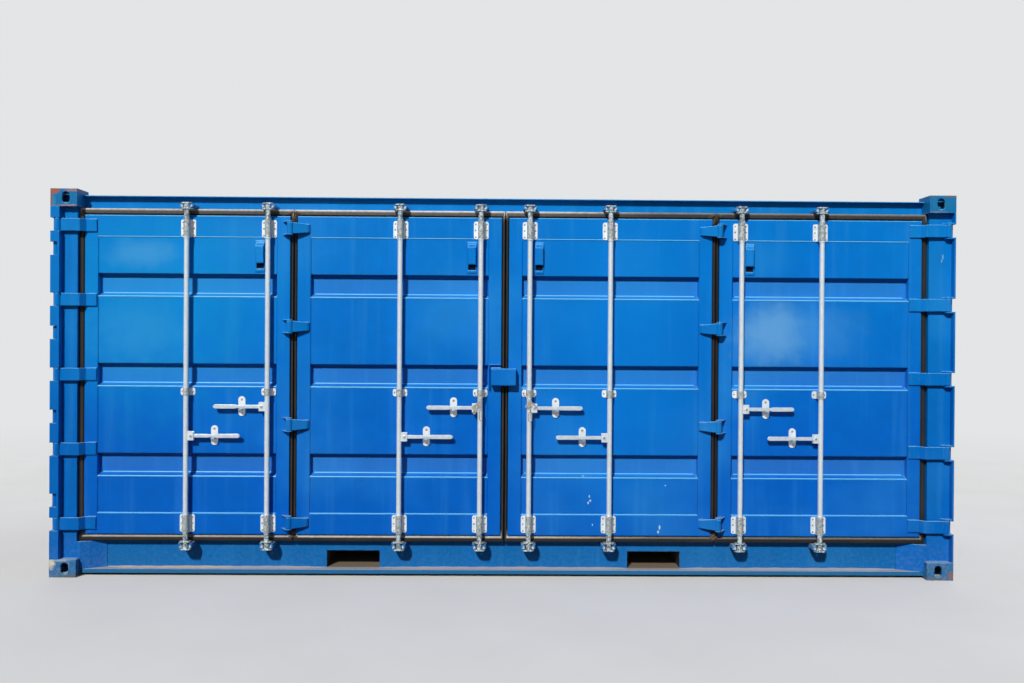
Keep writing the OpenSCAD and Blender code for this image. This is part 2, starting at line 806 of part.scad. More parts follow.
// Hood that shelters a padlock, welded to the left middle leaf and reaching over the right one
module lock_box() {
    left = -91;
    right = 75;
    z0 = 1295;
    z1 = 1410;
    t = 4;
    bend = 9;
    y0 = front + 3;
    frame_x = -107;
    frame_top = 1436;
    frame_low = 1265;
    frame_out = 24;
    color(blue) union() {
        // Front and top in one bent plate, and a side plate at each end
        along_x(left, right) polygon(concat([[y0, z0], [y0 + t, z0]],
            [for (a = [180:-15:90]) [y0 + bend + (bend - t) * cos(a), z1 - bend + (bend - t) * sin(a)]],
            [[face_y - lock_play, z1 - t], [face_y - lock_play, z1]],
            [for (a = [90:15:180]) [y0 + bend + bend * cos(a), z1 - bend + bend * sin(a)]]));
        for (x = [left, right - t]) translate([x, y0 + bend / 2, z0])
            cube([t, face_y - lock_play - y0 - bend / 2, z1 - z0 - bend / 2]);
        // Bracket on the leaf that carries it
        translate([left, face_y - lock_play - e, z0]) cube([-free_x - left, lock_play + e, z1 - z0]);
        translate([frame_x, face_y - frame_out, frame_low])
            cube([t, frame_out, frame_top - frame_low]);
        translate([frame_x, face_y - frame_out, frame_top - t])
            cube([-free_x - frame_x, frame_out, t]);
        translate([frame_x, face_y - t, z1 - e]) cube([-free_x - frame_x, t, frame_top - z1 + e]);
        translate([frame_x, face_y - t, frame_low])
            cube([left - frame_x + e, t, frame_top - frame_low]);
    }
}

// Plate that carries one end of the pin between two leaves
module fold_lug(z) {
    translate([0, 0, z]) linear_extrude(fold_lug_t) union() {
        translate([fold_pin_x, pin_y]) circle(r = knuckle_r - 1);
        polygon([[fold_pin_x + 2, pin_y - knuckle_r + 3], [fold_pin_x + 24, pin_y - 8],
                 [outer_free_x + 50, face_y], [outer_free_x + 2, face_y],
                 [fold_pin_x - 12, pin_y + 12]]);
    }
}

// Forged strap between two leaves: a flat blade that gets lower towards its welded foot
module fold_strap() {
    half = strap_t / 2;
    root_x = fold_x + 19;
    end_x = fold_x - strap_end;
    foot_l = 36;
    side_x = fold_pin_x + knuckle_r + e;
    slope = (fold_strap_h - fold_end_h) / 2;
    difference() {
        intersection() {
            linear_extrude(fold_strap_h) union() {
                translate([fold_pin_x, pin_y]) circle(r = knuckle_r);
                polygon([[fold_pin_x, pin_y - half], [root_x, pin_y - half],
                         [end_x + strap_t, face_y - fold_foot], [end_x, face_y - fold_foot / 2],
                         [end_x, face_y], [end_x + foot_l, face_y], [root_x - half, pin_y + half],
                         [fold_pin_x, pin_y + half]]);
            }
            along_y(pin_y - knuckle_r - e, face_y + e)
                polygon([[end_x, slope], [root_x, 0], [side_x, 0], [side_x, fold_strap_h],
                         [root_x, fold_strap_h], [end_x, fold_strap_h - slope]]);
        }
        translate([fold_pin_x, pin_y, -e])
            cylinder(h = fold_strap_h + 2 * e, r = pin_r + pin_play);
    }
}

module side_door_hinges() {
    gap = fold_strap_h + 2 * strap_play;
    color(blue) for (side = [-1, 1]) on_side(side) {
        for (z = hinge_zs) translate([0, 0, z - strap_h / 2]) post_strap();
        for (z = fold_zs) {
            fold_lug(z - gap / 2 - fold_lug_t);
            fold_lug(z + gap / 2);
            translate([fold_pin_x, pin_y, z - gap / 2 - 1]) cylinder(h = gap + 2, r = pin_r);
            translate([0, 0, z - fold_strap_h / 2]) fold_strap();
        }
    }
}

module side_door_gaskets() {
    color(rubber) for (side = [-1, 1]) on_side(side) {
        translate([outer_free_x, face_y, 0]) gasket_ring(leaf_w, seal_side, seal_post, seal_rise);
        translate([free_x, face_y, 0]) gasket_ring(leaf_w, seal_side, seal_side, seal_rise);
    }
}

// Outline of a plate, w by h, whose corners have the radius r
function rounded(w, h, r) = [for (k = [0:3]) for (a = [0:30:90])
    [(k == 0 || k == 3 ? 1 : -1) * (w / 2 - r) + r * cos(a + 90 * k),
     (k < 2 ? 1 : -1) * (h / 2 - r) + r * sin(a + 90 * k)]];

// Guide that wraps a rod: a plate on the leaf and a round cover over the rod
module rod_guide(x, z, h, w, base_y) {
    r = rod_r + guide_t;
    translate([x, 0, z]) difference() {
        union() {
            along_y(base_y - guide_t, base_y) polygon(rounded(w, h, guide_corner));
            translate([-r, rod_y, -h / 2]) cube([2 * r, base_y - rod_y, h]);
            translate([0, rod_y, -h / 2]) cylinder(h = h, r = r);
        }
        translate([0, rod_y, -h / 2 - e]) cylinder(h = h + 2 * e, r = rod_r + rod_play);
    }
}

// Catch that holds a handle: an upright plate with round ends and a shelf below the handle
module catch_plate(x, z, base_y) {
    plate_h = 133;
    plate_w = 47;
    plate_t = 5;
    hole_z = 44;
    shelf_w = 22;
    shelf_t = 7;
    below = handle_h / 2 + 1 + shelf_t;
    shelf_play = 0.3;
    past_handle = 4;
    translate([x, base_y, z]) rotate([90, 0, 0]) difference() {
        rotate([0, 0, 90]) slot(plate_h, plate_w, plate_t);
        translate([0, hole_z, -e]) cylinder(h = plate_t + 2 * e, r = 8);
        translate([-shelf_w / 2 - shelf_play, -below - shelf_play, -e])
            cube([shelf_w + 2 * shelf_play, shelf_t + 2 * shelf_play, plate_t + 2 * e]);
    }
    translate([x - shelf_w / 2, rod_y - handle_t / 2 - past_handle, z - below])
        cube([shelf_w, base_y - rod_y + handle_t / 2 + past_handle, shelf_t]);
}

// The three guides of a rod and its handle's catch, on a leaf's face at y = face_y
module rod_mounts(x, handle_z, dir) {
    land = face_y + panel_step;
    rod_guide(x, low_guide_z, guide_h, guide_w, face_y);
    rod_guide(x, high_guide_z, guide_h, guide_w, face_y);
    rod_guide(x, mid_guide_z, mid_guide_h, guide_w - 3, land);
    catch_plate(x + dir * catch_off, handle_z, land);
}

module side_door_guides() {
    color(zinc) for (side = [-1, 1]) on_side(side) for (k = [0:3])
        rod_mounts(rod_xs[k], k % 2 == 0 ? handle_high : handle_low, k % 2 == 0 ? 1 : -1);
}

// A lock rod on its own axis: tube, collars, the cam bars and the fork that holds its handle
module rod_body(hub_z, dir) {
    low = leaf_z - cam_off - low_cam_pitch - bar_t / 2;
    high = leaf_top + cam_off + cam_pitch + bar_t / 2;
    grip_out = handle_t / 2 + hub_play;
    union() {
        translate([0, 0, low]) cylinder(h = high - low, r = rod_r - weld_play);
        for (z = [low_guide_z + guide_h / 2 + 1, high_guide_z - guide_h / 2 - collar_h - 1,
                  high_guide_z + guide_h / 2 + 1])
            translate([0, 0, z]) cylinder(h = collar_h, r = rod_r + 4);
        // Fork of two plates, with the handle's rivet through them
        for (y = [grip_out, -grip_out - hub_t])
            translate([dir < 0 ? -hub_l : 0, y, hub_z - hub_h / 2]) cube([hub_l, hub_t, hub_h]);
        translate([dir * rivet_off, grip_out + hub_t, hub_z]) rotate([90, 0, 0])
            cylinder(h = 2 * (grip_out + hub_t) + rivet_head_h, r = rivet_r);
        translate([dir * rivet_off, -grip_out - hub_t + e, hub_z]) rotate([90, 0, 0])
            cylinder(h = rivet_head_h + e, r = rivet_r + 4);
    }
    for (z = [leaf_top + cam_off, leaf_top + cam_off + cam_pitch,
              leaf_z - cam_off, leaf_z - cam_off - low_cam_pitch])
        translate([0, 0, z - bar_t / 2]) difference() {
            slot(bar_l, bar_w, bar_t);
            translate([0, 0, -e]) cylinder(h = bar_t + 2 * e, r = rod_r + weld_play);
        }
}

// Upper edge of a handle from its heel to its tip: bar, narrow wrist over the catch, grip
wrist_w = 32;
wrist_slope = 19;
tip_l = 12;
tip_drop = 8;
function handle_edge(up) = let (from = catch_off - wrist_w / 2, to = catch_off + wrist_w / 2)
    [for (a = [165:-15:90]) [rivet_off + handle_bar / 2 * cos(a), up * handle_bar / 2 * sin(a)],
     [from - wrist_slope, up * handle_bar / 2], [from, up * waist_h / 2],
     [to, up * waist_h / 2], [to + wrist_slope, up * handle_h / 2],
     [handle_l - tip_l, up * handle_h / 2], [handle_l, up * (handle_h / 2 - tip_drop)]];

// A handle in its rod's own frame, with its grip towards dir
module handle_body(dir) {
    mirror([dir < 0 ? 1 : 0, 0, 0]) translate([0, handle_t / 2, 0]) rotate([90, 0, 0])
        difference() {
            linear_extrude(handle_t) polygon(concat([[rivet_off - handle_bar / 2, 0]],
                handle_edge(1), backwards(handle_edge(-1))));
            translate([rivet_off, 0, -e]) cylinder(h = handle_t + 2 * e, r = rivet_r + pin_play);
        }
}

// Rods are counted from left to right. The one nearer a leaf's free edge has the high handle.
function rod_side(i) = i < 4 ? -1 : 1;
function rod_rank(i) = i < 4 ? 3 - i : i - 4;
function is_near(i) = rod_rank(i) % 2 == 0;

module lock_rod(i) {
    near = is_near(i);
    color(zinc) on_side(rod_side(i)) translate([rod_xs[rod_rank(i)], rod_y, 0])
        rod_body(near ? handle_high : handle_low, near ? 1 : -1);
}

module handle(i) {
    near = is_near(i);
    color(zinc) on_side(rod_side(i))
        translate([rod_xs[rod_rank(i)], rod_y, near ? handle_high : handle_low])
            handle_body(near ? 1 : -1);
}

// A keeper on the frame, round a rod at the origin: a plate and two cheeks that stand forward
// between the bars of a cam, whose middle is at height z
module keeper(z, pitch) {
    nose = 9;
    reach = web_depth - leaf_depth + rod_out;
    h = pitch - bar_t - 2 * cheek_play;
    outer = rod_r + keeper_play + cheek_w;
    translate([0, 0, z - h / 2]) linear_extrude(h) union() {
        translate([-outer, reach - keeper_plate]) square([2 * outer, keeper_plate]);
        for (s = [-1, 1]) translate([s * (outer - cheek_w / 2), 0]) {
            translate([0, cheek_w / 2 - nose]) circle(d = cheek_w);
            translate([-cheek_w / 2, cheek_w / 2 - nose]) square([cheek_w, reach + nose - cheek_w / 2]);
        }
    }
}

// The keepers at both ends of a rod
module keeper_pair() {
    keeper(leaf_top + cam_off + cam_pitch / 2, cam_pitch);
    keeper(leaf_z - cam_off - low_cam_pitch / 2, low_cam_pitch);
}

// Children turned so that a leaf's own frame stands in the left end, one side each
module on_end(side) {
    mirror([0, side < 0 ? 1 : 0, 0]) translate([end_face, end_leaf_space / 2, 0])
        rotate([0, 0, 90]) mirror([0, 1, 0]) children();
}

module cam_keepers() {
    color(blue) {
        for (side = [-1, 1]) for (x = rod_xs) translate([side * x, rod_y, 0]) keeper_pair();
        for (s = [-1, 1]) on_end(s) for (x = end_rods) translate([x, -rod_out, 0]) keeper_pair();
    }
}

module end_door_leaves() {
    color(blue) for (s = [-1, 1]) on_end(s) leaf(end_leaf_w);
}

module end_door_gaskets() {
    color(rubber) for (s = [-1, 1]) on_end(s)
        gasket_ring(end_leaf_w, seal_side, seal_post, seal_rise);
}

// Straps of the end doors, from the pins in the corner posts
module end_door_hinges() {
    px = -half_l + pin_back;
    half = strap_t / 2;
    bend = inner_y + 12;
    reach = inner_y - end_edge_gap - strap_end;
    color(blue) for (s = [-1, 1]) mirror([0, s < 0 ? 1 : 0, 0])
        for (z = end_hinge_zs) translate([0, 0, z - strap_h / 2]) linear_extrude(strap_h)
            difference() {
                union() {
                    translate([px, half_w - pin_in]) circle(r = knuckle_r - 1);
                    polygon([[px - half, half_w - pin_in], [px - half, bend - 2],
                             [end_face - strap_t + 2, bend - 52], [end_face - strap_t + 2, reach],
                             [end_face, reach], [end_face, bend - 48], [px + half, bend + 2],
                             [px + half, half_w - pin_in]]);
                }
                translate([px, half_w - pin_in]) circle(r = pin_r + pin_play);
            }
}

// Rods, guides, handles and catches of the end doors, all at rest
module end_door_lock_gear() {
    color(zinc) for (s = [-1, 1]) on_end(s) for (k = [0, 1]) {
        dir = k == 0 ? 1 : -1;
        hz = k == 0 ? handle_high : handle_low;
        translate([end_rods[k], -rod_out, 0]) rod_body(hz, dir);
        translate([end_rods[k], -rod_out, hz]) handle_body(dir);
        translate([0, -face_y, 0]) rod_mounts(end_rods[k], hz, dir);
    }
}

top_castings();
bottom_castings();
left_door_post();
right_door_post();
back_posts();
front_sill();
sill_gussets();
front_header();
back_bottom_rail();
back_top_rail();
end_wall_rails();
end_door_sill();
end_door_header();
cross_members();
fork_pockets();
floor_panels();
roof();
back_wall();
end_wall();
end_door_leaves();
end_door_hinges();
end_door_gaskets();
end_door_lock_gear();
cam_keepers();
side_door_leaves();
side_door_hinges();
side_door_gaskets();
side_door_guides();
lock_box();
lock_rod(0);  // lock_rod_1
lock_rod(1);  // lock_rod_2
lock_rod(2);  // lock_rod_3
lock_rod(3);  // lock_rod_4
lock_rod(4);  // lock_rod_5
lock_rod(5);  // lock_rod_6
lock_rod(6);  // lock_rod_7
lock_rod(7);  // lock_rod_8
handle(0);  // handle_1
handle(1);  // handle_2
handle(2);  // handle_3
handle(3);  // handle_4
handle(4);  // handle_5
handle(5);  // handle_6
handle(6);  // handle_7
handle(7);  // handle_8
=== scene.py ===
# Finish and small parts of an open-side freight container: marine paint, galvanised lock gear,
# rubber gaskets, plywood, welds, rivets and chains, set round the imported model.
import math

import bmesh
import bpy
import numpy as np
from mathutils import Matrix


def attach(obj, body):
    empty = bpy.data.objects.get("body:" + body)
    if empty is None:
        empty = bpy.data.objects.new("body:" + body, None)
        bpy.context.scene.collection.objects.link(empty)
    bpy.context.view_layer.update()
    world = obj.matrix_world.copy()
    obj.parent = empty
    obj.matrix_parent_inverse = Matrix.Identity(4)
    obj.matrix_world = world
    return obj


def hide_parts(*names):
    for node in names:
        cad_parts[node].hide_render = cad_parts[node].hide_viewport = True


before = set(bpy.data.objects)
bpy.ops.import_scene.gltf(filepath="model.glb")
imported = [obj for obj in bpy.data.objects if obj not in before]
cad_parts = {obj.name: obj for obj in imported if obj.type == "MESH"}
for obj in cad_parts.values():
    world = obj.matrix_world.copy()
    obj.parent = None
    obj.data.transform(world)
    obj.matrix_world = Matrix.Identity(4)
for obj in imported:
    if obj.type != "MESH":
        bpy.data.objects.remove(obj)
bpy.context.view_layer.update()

scene = bpy.context.scene

# The camera stands 6 m before the side doors at eye height and looks almost square at them, as
# the photograph was taken. It is turned and rolled by less than a degree.
camera_place = (-0.0179, -7.1681, 1.6184)
turn, tilt, roll = np.radians((-0.6215, -0.2627, 0.3699))
ahead = np.array([-math.sin(turn) * math.cos(tilt), math.cos(turn) * math.cos(tilt),
                  math.sin(tilt)])
level = np.array([math.cos(turn), math.sin(turn), 0.0])
above = np.cross(level, ahead)
right = math.cos(roll) * level + math.sin(roll) * above
up = math.cos(roll) * above - math.sin(roll) * level
lens = bpy.data.cameras.new("door_side_camera")
lens.lens = 31.258
lens.sensor_width = 36.0
lens.clip_end = 300.0
camera = bpy.data.objects.new("door_side_camera", lens)
facing = Matrix(np.stack([right, up, -ahead], 1)).to_4x4()
camera.matrix_world = Matrix.Translation(camera_place) @ facing
scene.collection.objects.link(camera)
scene.camera = camera
scene.view_settings.view_transform = "Standard"


# The studio: a pale floor that runs out into a pale surround, one large lamp high on the left
# before the doors, and a soft fill that is stronger behind and at the right, so that those sides
# are lit too. A surface that faces the lamp shows its colour as written.
def colour(code):
    """The linear colour of an sRGB hex code such as #4477aa: each channel over 0.04045 is
    ((c + 0.055) / 1.055) to the power 2.4, and below that c / 12.92."""
    c = np.array([int(code[i:i + 2], 16) / 255 for i in (1, 3, 5)])
    return (*np.where(c > 0.04045, ((c + 0.055) / 1.055) ** 2.4, c / 12.92), 1.0)


def node(tree, kind, sockets=None, out=0, **settings):
    """Adds one shader node, sets its own settings, then gives each named or numbered socket its
    value or its link, and returns the output called out."""
    made = tree.nodes.new("ShaderNode" + kind)
    for key, value in settings.items():
        setattr(made, key, value)
    for key, value in (sockets or {}).items():
        if isinstance(value, bpy.types.NodeSocket):
            tree.links.new(value, made.inputs[key])
        else:
            made.inputs[key].default_value = value
    return made.outputs[out] if len(made.outputs) else None


def calc(tree, kind, *values):
    """Adds a node of one sum on numbers or links, such as ADD or MULTIPLY."""
    return node(tree, "Math", dict(enumerate(values)), operation=kind)


def ramp(tree, value, low, high, start=0.0, end=1.0, curve="LINEAR"):
    """Adds a node that goes from start to end while the value goes from low to high."""
    return node(tree, "MapRange", {0: value, 1: low, 2: high, 3: start, 4: end},
                interpolation_type=curve)


def ease(tree, value, low, high, start=0.0, end=1.0):
    """The same as a ramp, but along an S curve."""
    return ramp(tree, value, low, high, start, end, "SMOOTHSTEP")


def mix(tree, share, under, over):
    """Adds a node that lays a share of one colour over another: links, or sRGB hex codes."""
    under, over = (colour(shade) if isinstance(shade, str) else shade for shade in (under, over))
    return node(tree, "Mix", {0: share, 6: under, 7: over}, out=2, data_type="RGBA")


def noise(tree, place, millimetres, detail, roughness=0.5):
    """Adds a cloud pattern whose largest clouds are about this many millimetres across."""
    return node(tree, "TexNoise", {"Vector": place, "Scale": 1000 / millimetres, "Detail": detail,
                                   "Roughness": roughness})


def seen_rays(tree):
    """1 for rays from the camera, off a sheen or through glass, and 0 for those that light."""
    seen = node(tree, "LightPath", out="Is Camera Ray")
    seen = calc(tree, "MAXIMUM", seen, node(tree, "LightPath", out="Is Glossy Ray"))
    return calc(tree, "MAXIMUM", seen, node(tree, "LightPath", out="Is Transmission Ray"))


surround = colour("#e3e5e6")
world = bpy.data.worlds.new("pale_surround")
scene.world = world
world.use_nodes = True
tree = world.node_tree
tree.nodes.clear()
direction = node(tree, "TexCoord", out="Generated")
toward_back = node(tree, "VectorMath", {0: direction, 1: (0.5, 1.0, 0.0)}, out="Value",
                   operation="DOT_PRODUCT")
soft = ease(tree, toward_back, -0.15, 0.65, 0.10, 0.85)
fill = node(tree, "Background", {"Color": colour("#dce8ff"), "Strength": soft})
backdrop = node(tree, "Background", {"Color": surround, "Strength": 1.0})
shown = node(tree, "MixShader", {0: seen_rays(tree), 1: fill, 2: backdrop})
node(tree, "OutputWorld", {"Surface": shown})

lamp = bpy.data.lights.new("large_high_lamp", "SUN")
lamp.energy = 3.5
lamp.angle = math.radians(4.0)
lamp.color = colour("#fffaf2")[:3]
lamp_object = bpy.data.objects.new("large_high_lamp", lamp)
shine = np.array([0.273, 0.750, -0.602])
side = np.cross(shine, (0.0, 0.0, 1.0))
side /= np.linalg.norm(side)
lamp_object.matrix_world = Matrix(np.stack([side, np.cross(-shine, side), -shine], 1)).to_4x4()
scene.collection.objects.link(lamp_object)


def quads(rows, columns, ring=True, loop=False):
    """Corner numbers of the faces between neighbouring points of a grid of rows by columns. Where
    the columns make a ring, the last one joins the first, and so do the rows of a loop."""
    row = np.arange(rows if loop else rows - 1)[:, None]
    column = np.arange(columns if ring else columns - 1)[None, :]
    below, beside = (row + 1) % rows, (column + 1) % columns
    corners = np.broadcast_arrays(row * columns + column, row * columns + beside,
                                  below * columns + beside, below * columns + column)
    return np.stack(corners, -1).reshape(-1, 4)


def new_object(name, points, faces, finish, bend=40.0):
    """A mesh object from an array of points and one of faces, with its faces turned outwards and
    edges that bend by more than the given degrees kept sharp."""
    mesh = bpy.data.meshes.new(name)
    mesh.from_pydata(np.reshape(points, (-1, 3)).tolist(), [], [tuple(f) for f in faces])
    shell = bmesh.new()
    shell.from_mesh(mesh)
    bmesh.ops.recalc_face_normals(shell, faces=shell.faces)
    shell.to_mesh(mesh)
    shell.free()
    mesh.shade_smooth()
    mesh.set_sharp_from_angle(angle=math.radians(bend))
    mesh.materials.append(finish)
    made = bpy.data.objects.new(name, mesh)
    scene.collection.objects.link(made)
    return made


# The floor is matt cast concrete with a pale sealer, laid flat. It is pale to the eye and in
# reflections, but throws little light back, and far out it has the surround's own colour.
def new_finish(name):
    """An empty material, its node tree and a link to each point's own place in its piece."""
    finish = bpy.data.materials.new(name)
    finish.use_nodes = True
    finish.node_tree.nodes.clear()
    return finish, finish.node_tree, node(finish.node_tree, "TexCoord", out="Object")


sealed_floor, tree, place = new_finish("sealed_pale_concrete")
tone = mix(tree, noise(tree, place, 700, 5.0), "#dcdbd8", "#e6e6e4")
tone = mix(tree, seen_rays(tree), "#5a5754", tone)
matt = node(tree, "BsdfPrincipled", {"Base Color": tone, "Roughness": 0.9,
                                     "Specular IOR Level": 0.2})
far_out = node(tree, "VectorMath", {0: place}, out="Value", operation="LENGTH")
faint = ease(tree, far_out, 5.0, 13.0)
faint = calc(tree, "MULTIPLY", faint, node(tree, "LightPath", out="Is Camera Ray"))
plain = node(tree, "Emission", {"Color": surround, "Strength": 1.0})
node(tree, "OutputMaterial", {"Surface": node(tree, "MixShader", {0: faint, 1: matt, 2: plain})})
radius = np.linspace(0.5, 40.0, 12)[:, None]
angle = np.linspace(0, 2 * np.pi, 48, endpoint=False)[None, :]
under_castings = -0.0006
sheet = np.stack(np.broadcast_arrays(radius * np.cos(angle), radius * np.sin(angle),
                                     under_castings), -1)
floor = new_object("pale_floor", sheet, quads(12, 48).tolist() + [list(range(48))], sealed_floor)


# The frame is pressed and folded weathering steel, welded up, blasted and sprayed with a zinc
# primer and two coats of blue marine paint. It is a satin that the sun has bleached from the top
# down. Thin pale lines where a bend or an edge faces up are partly chalked paint and partly a
# painted highlight, and faces that turn down are painted darker as painted shade.
def distance(tree, place, x, z, wide, high, deep):
    """How far a point lies from the middle of a spot on the door side, in parts of the spot's
    half width, its reach in depth and its half height."""
    door_side = -1.2
    near = node(tree, "Mapping", {"Vector": place, "Scale": (1 / wide, 1 / deep, 1 / high),
                                  "Location": (-x / wide, -door_side / deep, -z / high)})
    return node(tree, "VectorMath", {0: near}, out="Value", operation="LENGTH")


def surface(tree, sockets):
    """Adds the shader of a coat or skin with these values, and shows it."""
    node(tree, "OutputMaterial", {"Surface": node(tree, "BsdfPrincipled", sockets)})


def marine_paint(name, coat="#0062c6", bleached="#0082dc", chalk="#48a8ee", clouds=0.3, dust=0.5,
                 wear=0.5, splash=0.3, recess=0.0, bend=0.004, spots=(), haze=(), rust=0.0,
                 rough=0.36):
    """The paint as nodes on a piece's own place. In order: the coat, bleached with height, clouds
    of chalk about 0.9 m across, streaks that rain draws down, a faint mottle as wide as a spray
    pass, soft haze (x, z, half width, half height, colour, strength), a film of chalk in pressed
    bands, painted shade on faces that turn down, dust where the surface lies flat and low down,
    a pale line where a rounding turns the surface up, partly chalk and partly a painted
    highlight, chips, rust in the deepest of them, and small spots given as the haze is. The coat
    is a dielectric, so metallic stays 0 and only its sheen shows the surroundings."""
    finish, tree, place = new_finish(name)
    height = node(tree, "SeparateXYZ", {0: place}, out="Z")
    large = noise(tree, place, 900, 3.0, 0.45)
    drawn = node(tree, "Mapping", {"Vector": place, "Scale": (1.0, 1.0, 0.05)})
    streaks = noise(tree, drawn, 70, 3.0)
    mottle = noise(tree, place, 130, 4.0, 0.6)
    grain = noise(tree, place, 22, 5.0, 0.7)

    wavy = ramp(tree, large, 0.3, 0.7, -0.35, 0.35)
    sunned = calc(tree, "ADD", height, wavy)
    sunned = ease(tree, sunned, 0.35, 2.45)
    tint = mix(tree, sunned, coat, bleached)
    cloudy = ease(tree, large, 0.48, 0.78, 0, clouds)
    tint = mix(tree, cloudy, tint, chalk)
    streaky = ease(tree, streaks, 0.50, 0.75, 0, 0.12)
    tint = mix(tree, streaky, tint, chalk)
    mottled = ramp(tree, mottle, 0.35, 0.68, 0.95, 1.04)
    tint = node(tree, "VectorMath", {0: tint, "Scale": mottled}, operation="SCALE")
    patchy = ramp(tree, mottle, 0.3, 0.7, -0.16, 0.16)
    for x, z, wide, high, shade, strength in haze:
        away = calc(tree, "ADD", distance(tree, place, x, z, wide, high, 2.0), patchy)
        amount = ease(tree, away, 1.1, 0.15, 0, strength)
        tint = mix(tree, amount, tint, shade)
    if recess:
        sheet_back, band_floor = -1.148, -1.122
        deep = node(tree, "SeparateXYZ", {0: place}, out="Y")
        deep = ease(tree, deep, sheet_back, band_floor, 0, recess)
        tint = mix(tree, deep, tint, "#5fa6e0")

    outward = node(tree, "NewGeometry", out="Normal")
    facing_up = node(tree, "SeparateXYZ", {0: outward}, out="Z")
    # Painted shade: faces that turn down are darkened towards navy, in place of the shade beneath
    # them.
    below = ease(tree, facing_up, -0.25, -0.80, 0, 0.65)
    tint = mix(tree, below, tint, "#00306e")
    lying = ease(tree, facing_up, 0.88, 0.99, 0, dust)
    low = ease(tree, height, 0.40, 0.02, 0, splash)
    speckled = ramp(tree, grain, 0.44, 0.70, 0.05, 0.8)
    low = calc(tree, "MULTIPLY", low, speckled)
    dusty = calc(tree, "MAXIMUM", lying, low)
    tint = mix(tree, dusty, tint, "#a5a0a2")

    rounded = node(tree, "Bevel", {"Radius": bend}, samples=6)
    turned_up = node(tree, "SeparateXYZ", {0: rounded}, out="Z")
    bent = node(tree, "VectorMath", {0: rounded, 1: outward}, out="Value", operation="DOT_PRODUCT")
    edge = ease(tree, bent, 0.995, 0.90)
    # Painted highlight, partly chalk: where a rounding turns the surface up, a pale cyan line is
    # laid on.
    glint_and_chalk_line = ease(tree, turned_up, 0.05, 0.35, 0, 0.80)
    glint_and_chalk_line = calc(tree, "MULTIPLY", edge, glint_and_chalk_line)
    tint = mix(tree, glint_and_chalk_line, tint, "#7fd0ff")
    chipped = ramp(tree, grain, 0.62 - 0.16 * wear, 0.70 - 0.12 * wear, 0, 0.7 * wear)
    chipped = calc(tree, "MULTIPLY", edge, chipped)
    tint = mix(tree, chipped, tint, "#7fa9c6")
    rusty = ramp(tree, grain, 0.66 - 0.2 * rust, 0.76 - 0.2 * rust, 0, min(1.0, 3 * rust))
    rusty = calc(tree, "MULTIPLY", edge, rusty)
    tint = mix(tree, rusty, tint, "#74482c")
    ragged = ramp(tree, grain, 0.25, 0.75, -0.55, 0.55)
    for x, z, wide, high, shade, strength in spots:
        away = calc(tree, "ADD", distance(tree, place, x, z, wide, high, 0.25), ragged)
        amount = ease(tree, away, 1.15, 0.35, 0, strength)
        tint = mix(tree, amount, tint, shade)

    # Sheet metal bows by about a millimetre between its welds, and sprayed paint has an orange
    # peel of 2 mm, drawn here as 9 mm because a finer one would not show.
    bow = noise(tree, place, 420, 1.0)
    peel = noise(tree, place, 9, 2.0)
    peel = calc(tree, "MULTIPLY", peel, 0.00010)
    relief = calc(tree, "MULTIPLY_ADD", bow, 0.0030, peel)
    relief = node(tree, "Bump", {"Height": relief, "Distance": 1.0, "Strength": 1.0,
                                 "Normal": rounded})
    roughness = calc(tree, "MULTIPLY_ADD", dusty, 0.4, rough)
    roughness = calc(tree, "MULTIPLY_ADD", cloudy, 0.15, roughness)
    surface(tree, {"Base Color": tint, "Roughness": roughness, "IOR": 1.5,
                   "Specular IOR Level": 0.12, "Normal": relief})
    return finish


def dress(finish, *names):
    """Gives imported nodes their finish, and leaves their shapes alone."""
    for name in names:
        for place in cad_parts[name].material_slots:
            place.material = finish


frame_paint = marine_paint("sprayed_marine_paint_on_frame", coat="#0067c0", bleached="#007cd2",
                           clouds=0.2, rust=0.06, wear=0.4, splash=0.2,
                           spots=[(2.962, 2.180, 0.006, 0.020, "#7fb7e6", 0.9),
                                  (2.955, 2.155, 0.004, 0.012, "#9cc8ec", 0.9)])
dress(frame_paint, "left_door_post", "right_door_post", "back_posts", "sill_gussets",
      "front_header", "back_bottom_rail", "back_top_rail", "end_wall_rails", "end_door_sill",
      "end_door_header")

# The front sill is folded from one plate, with a ledge along its foot that the fork lifts rub.
# Dust lies on the ledge, its nose is rubbed pale, and its face is worn to a teal undercoat.
sill_paint = marine_paint("marine_paint_worn_on_sill", coat="#0068b2", bleached="#0066b4",
                          chalk="#3f93cc", clouds=0.15, dust=0.95, splash=0.12, wear=0.8, rust=0.08,
                          rough=0.45,
                          spots=[(0.0, 0.026, 90.0, 0.018, "#2f6c98", 0.80),
                                 (-2.60, 0.10, 0.35, 0.050, "#1c66a4", 0.5)])
dress(sill_paint, "front_sill")

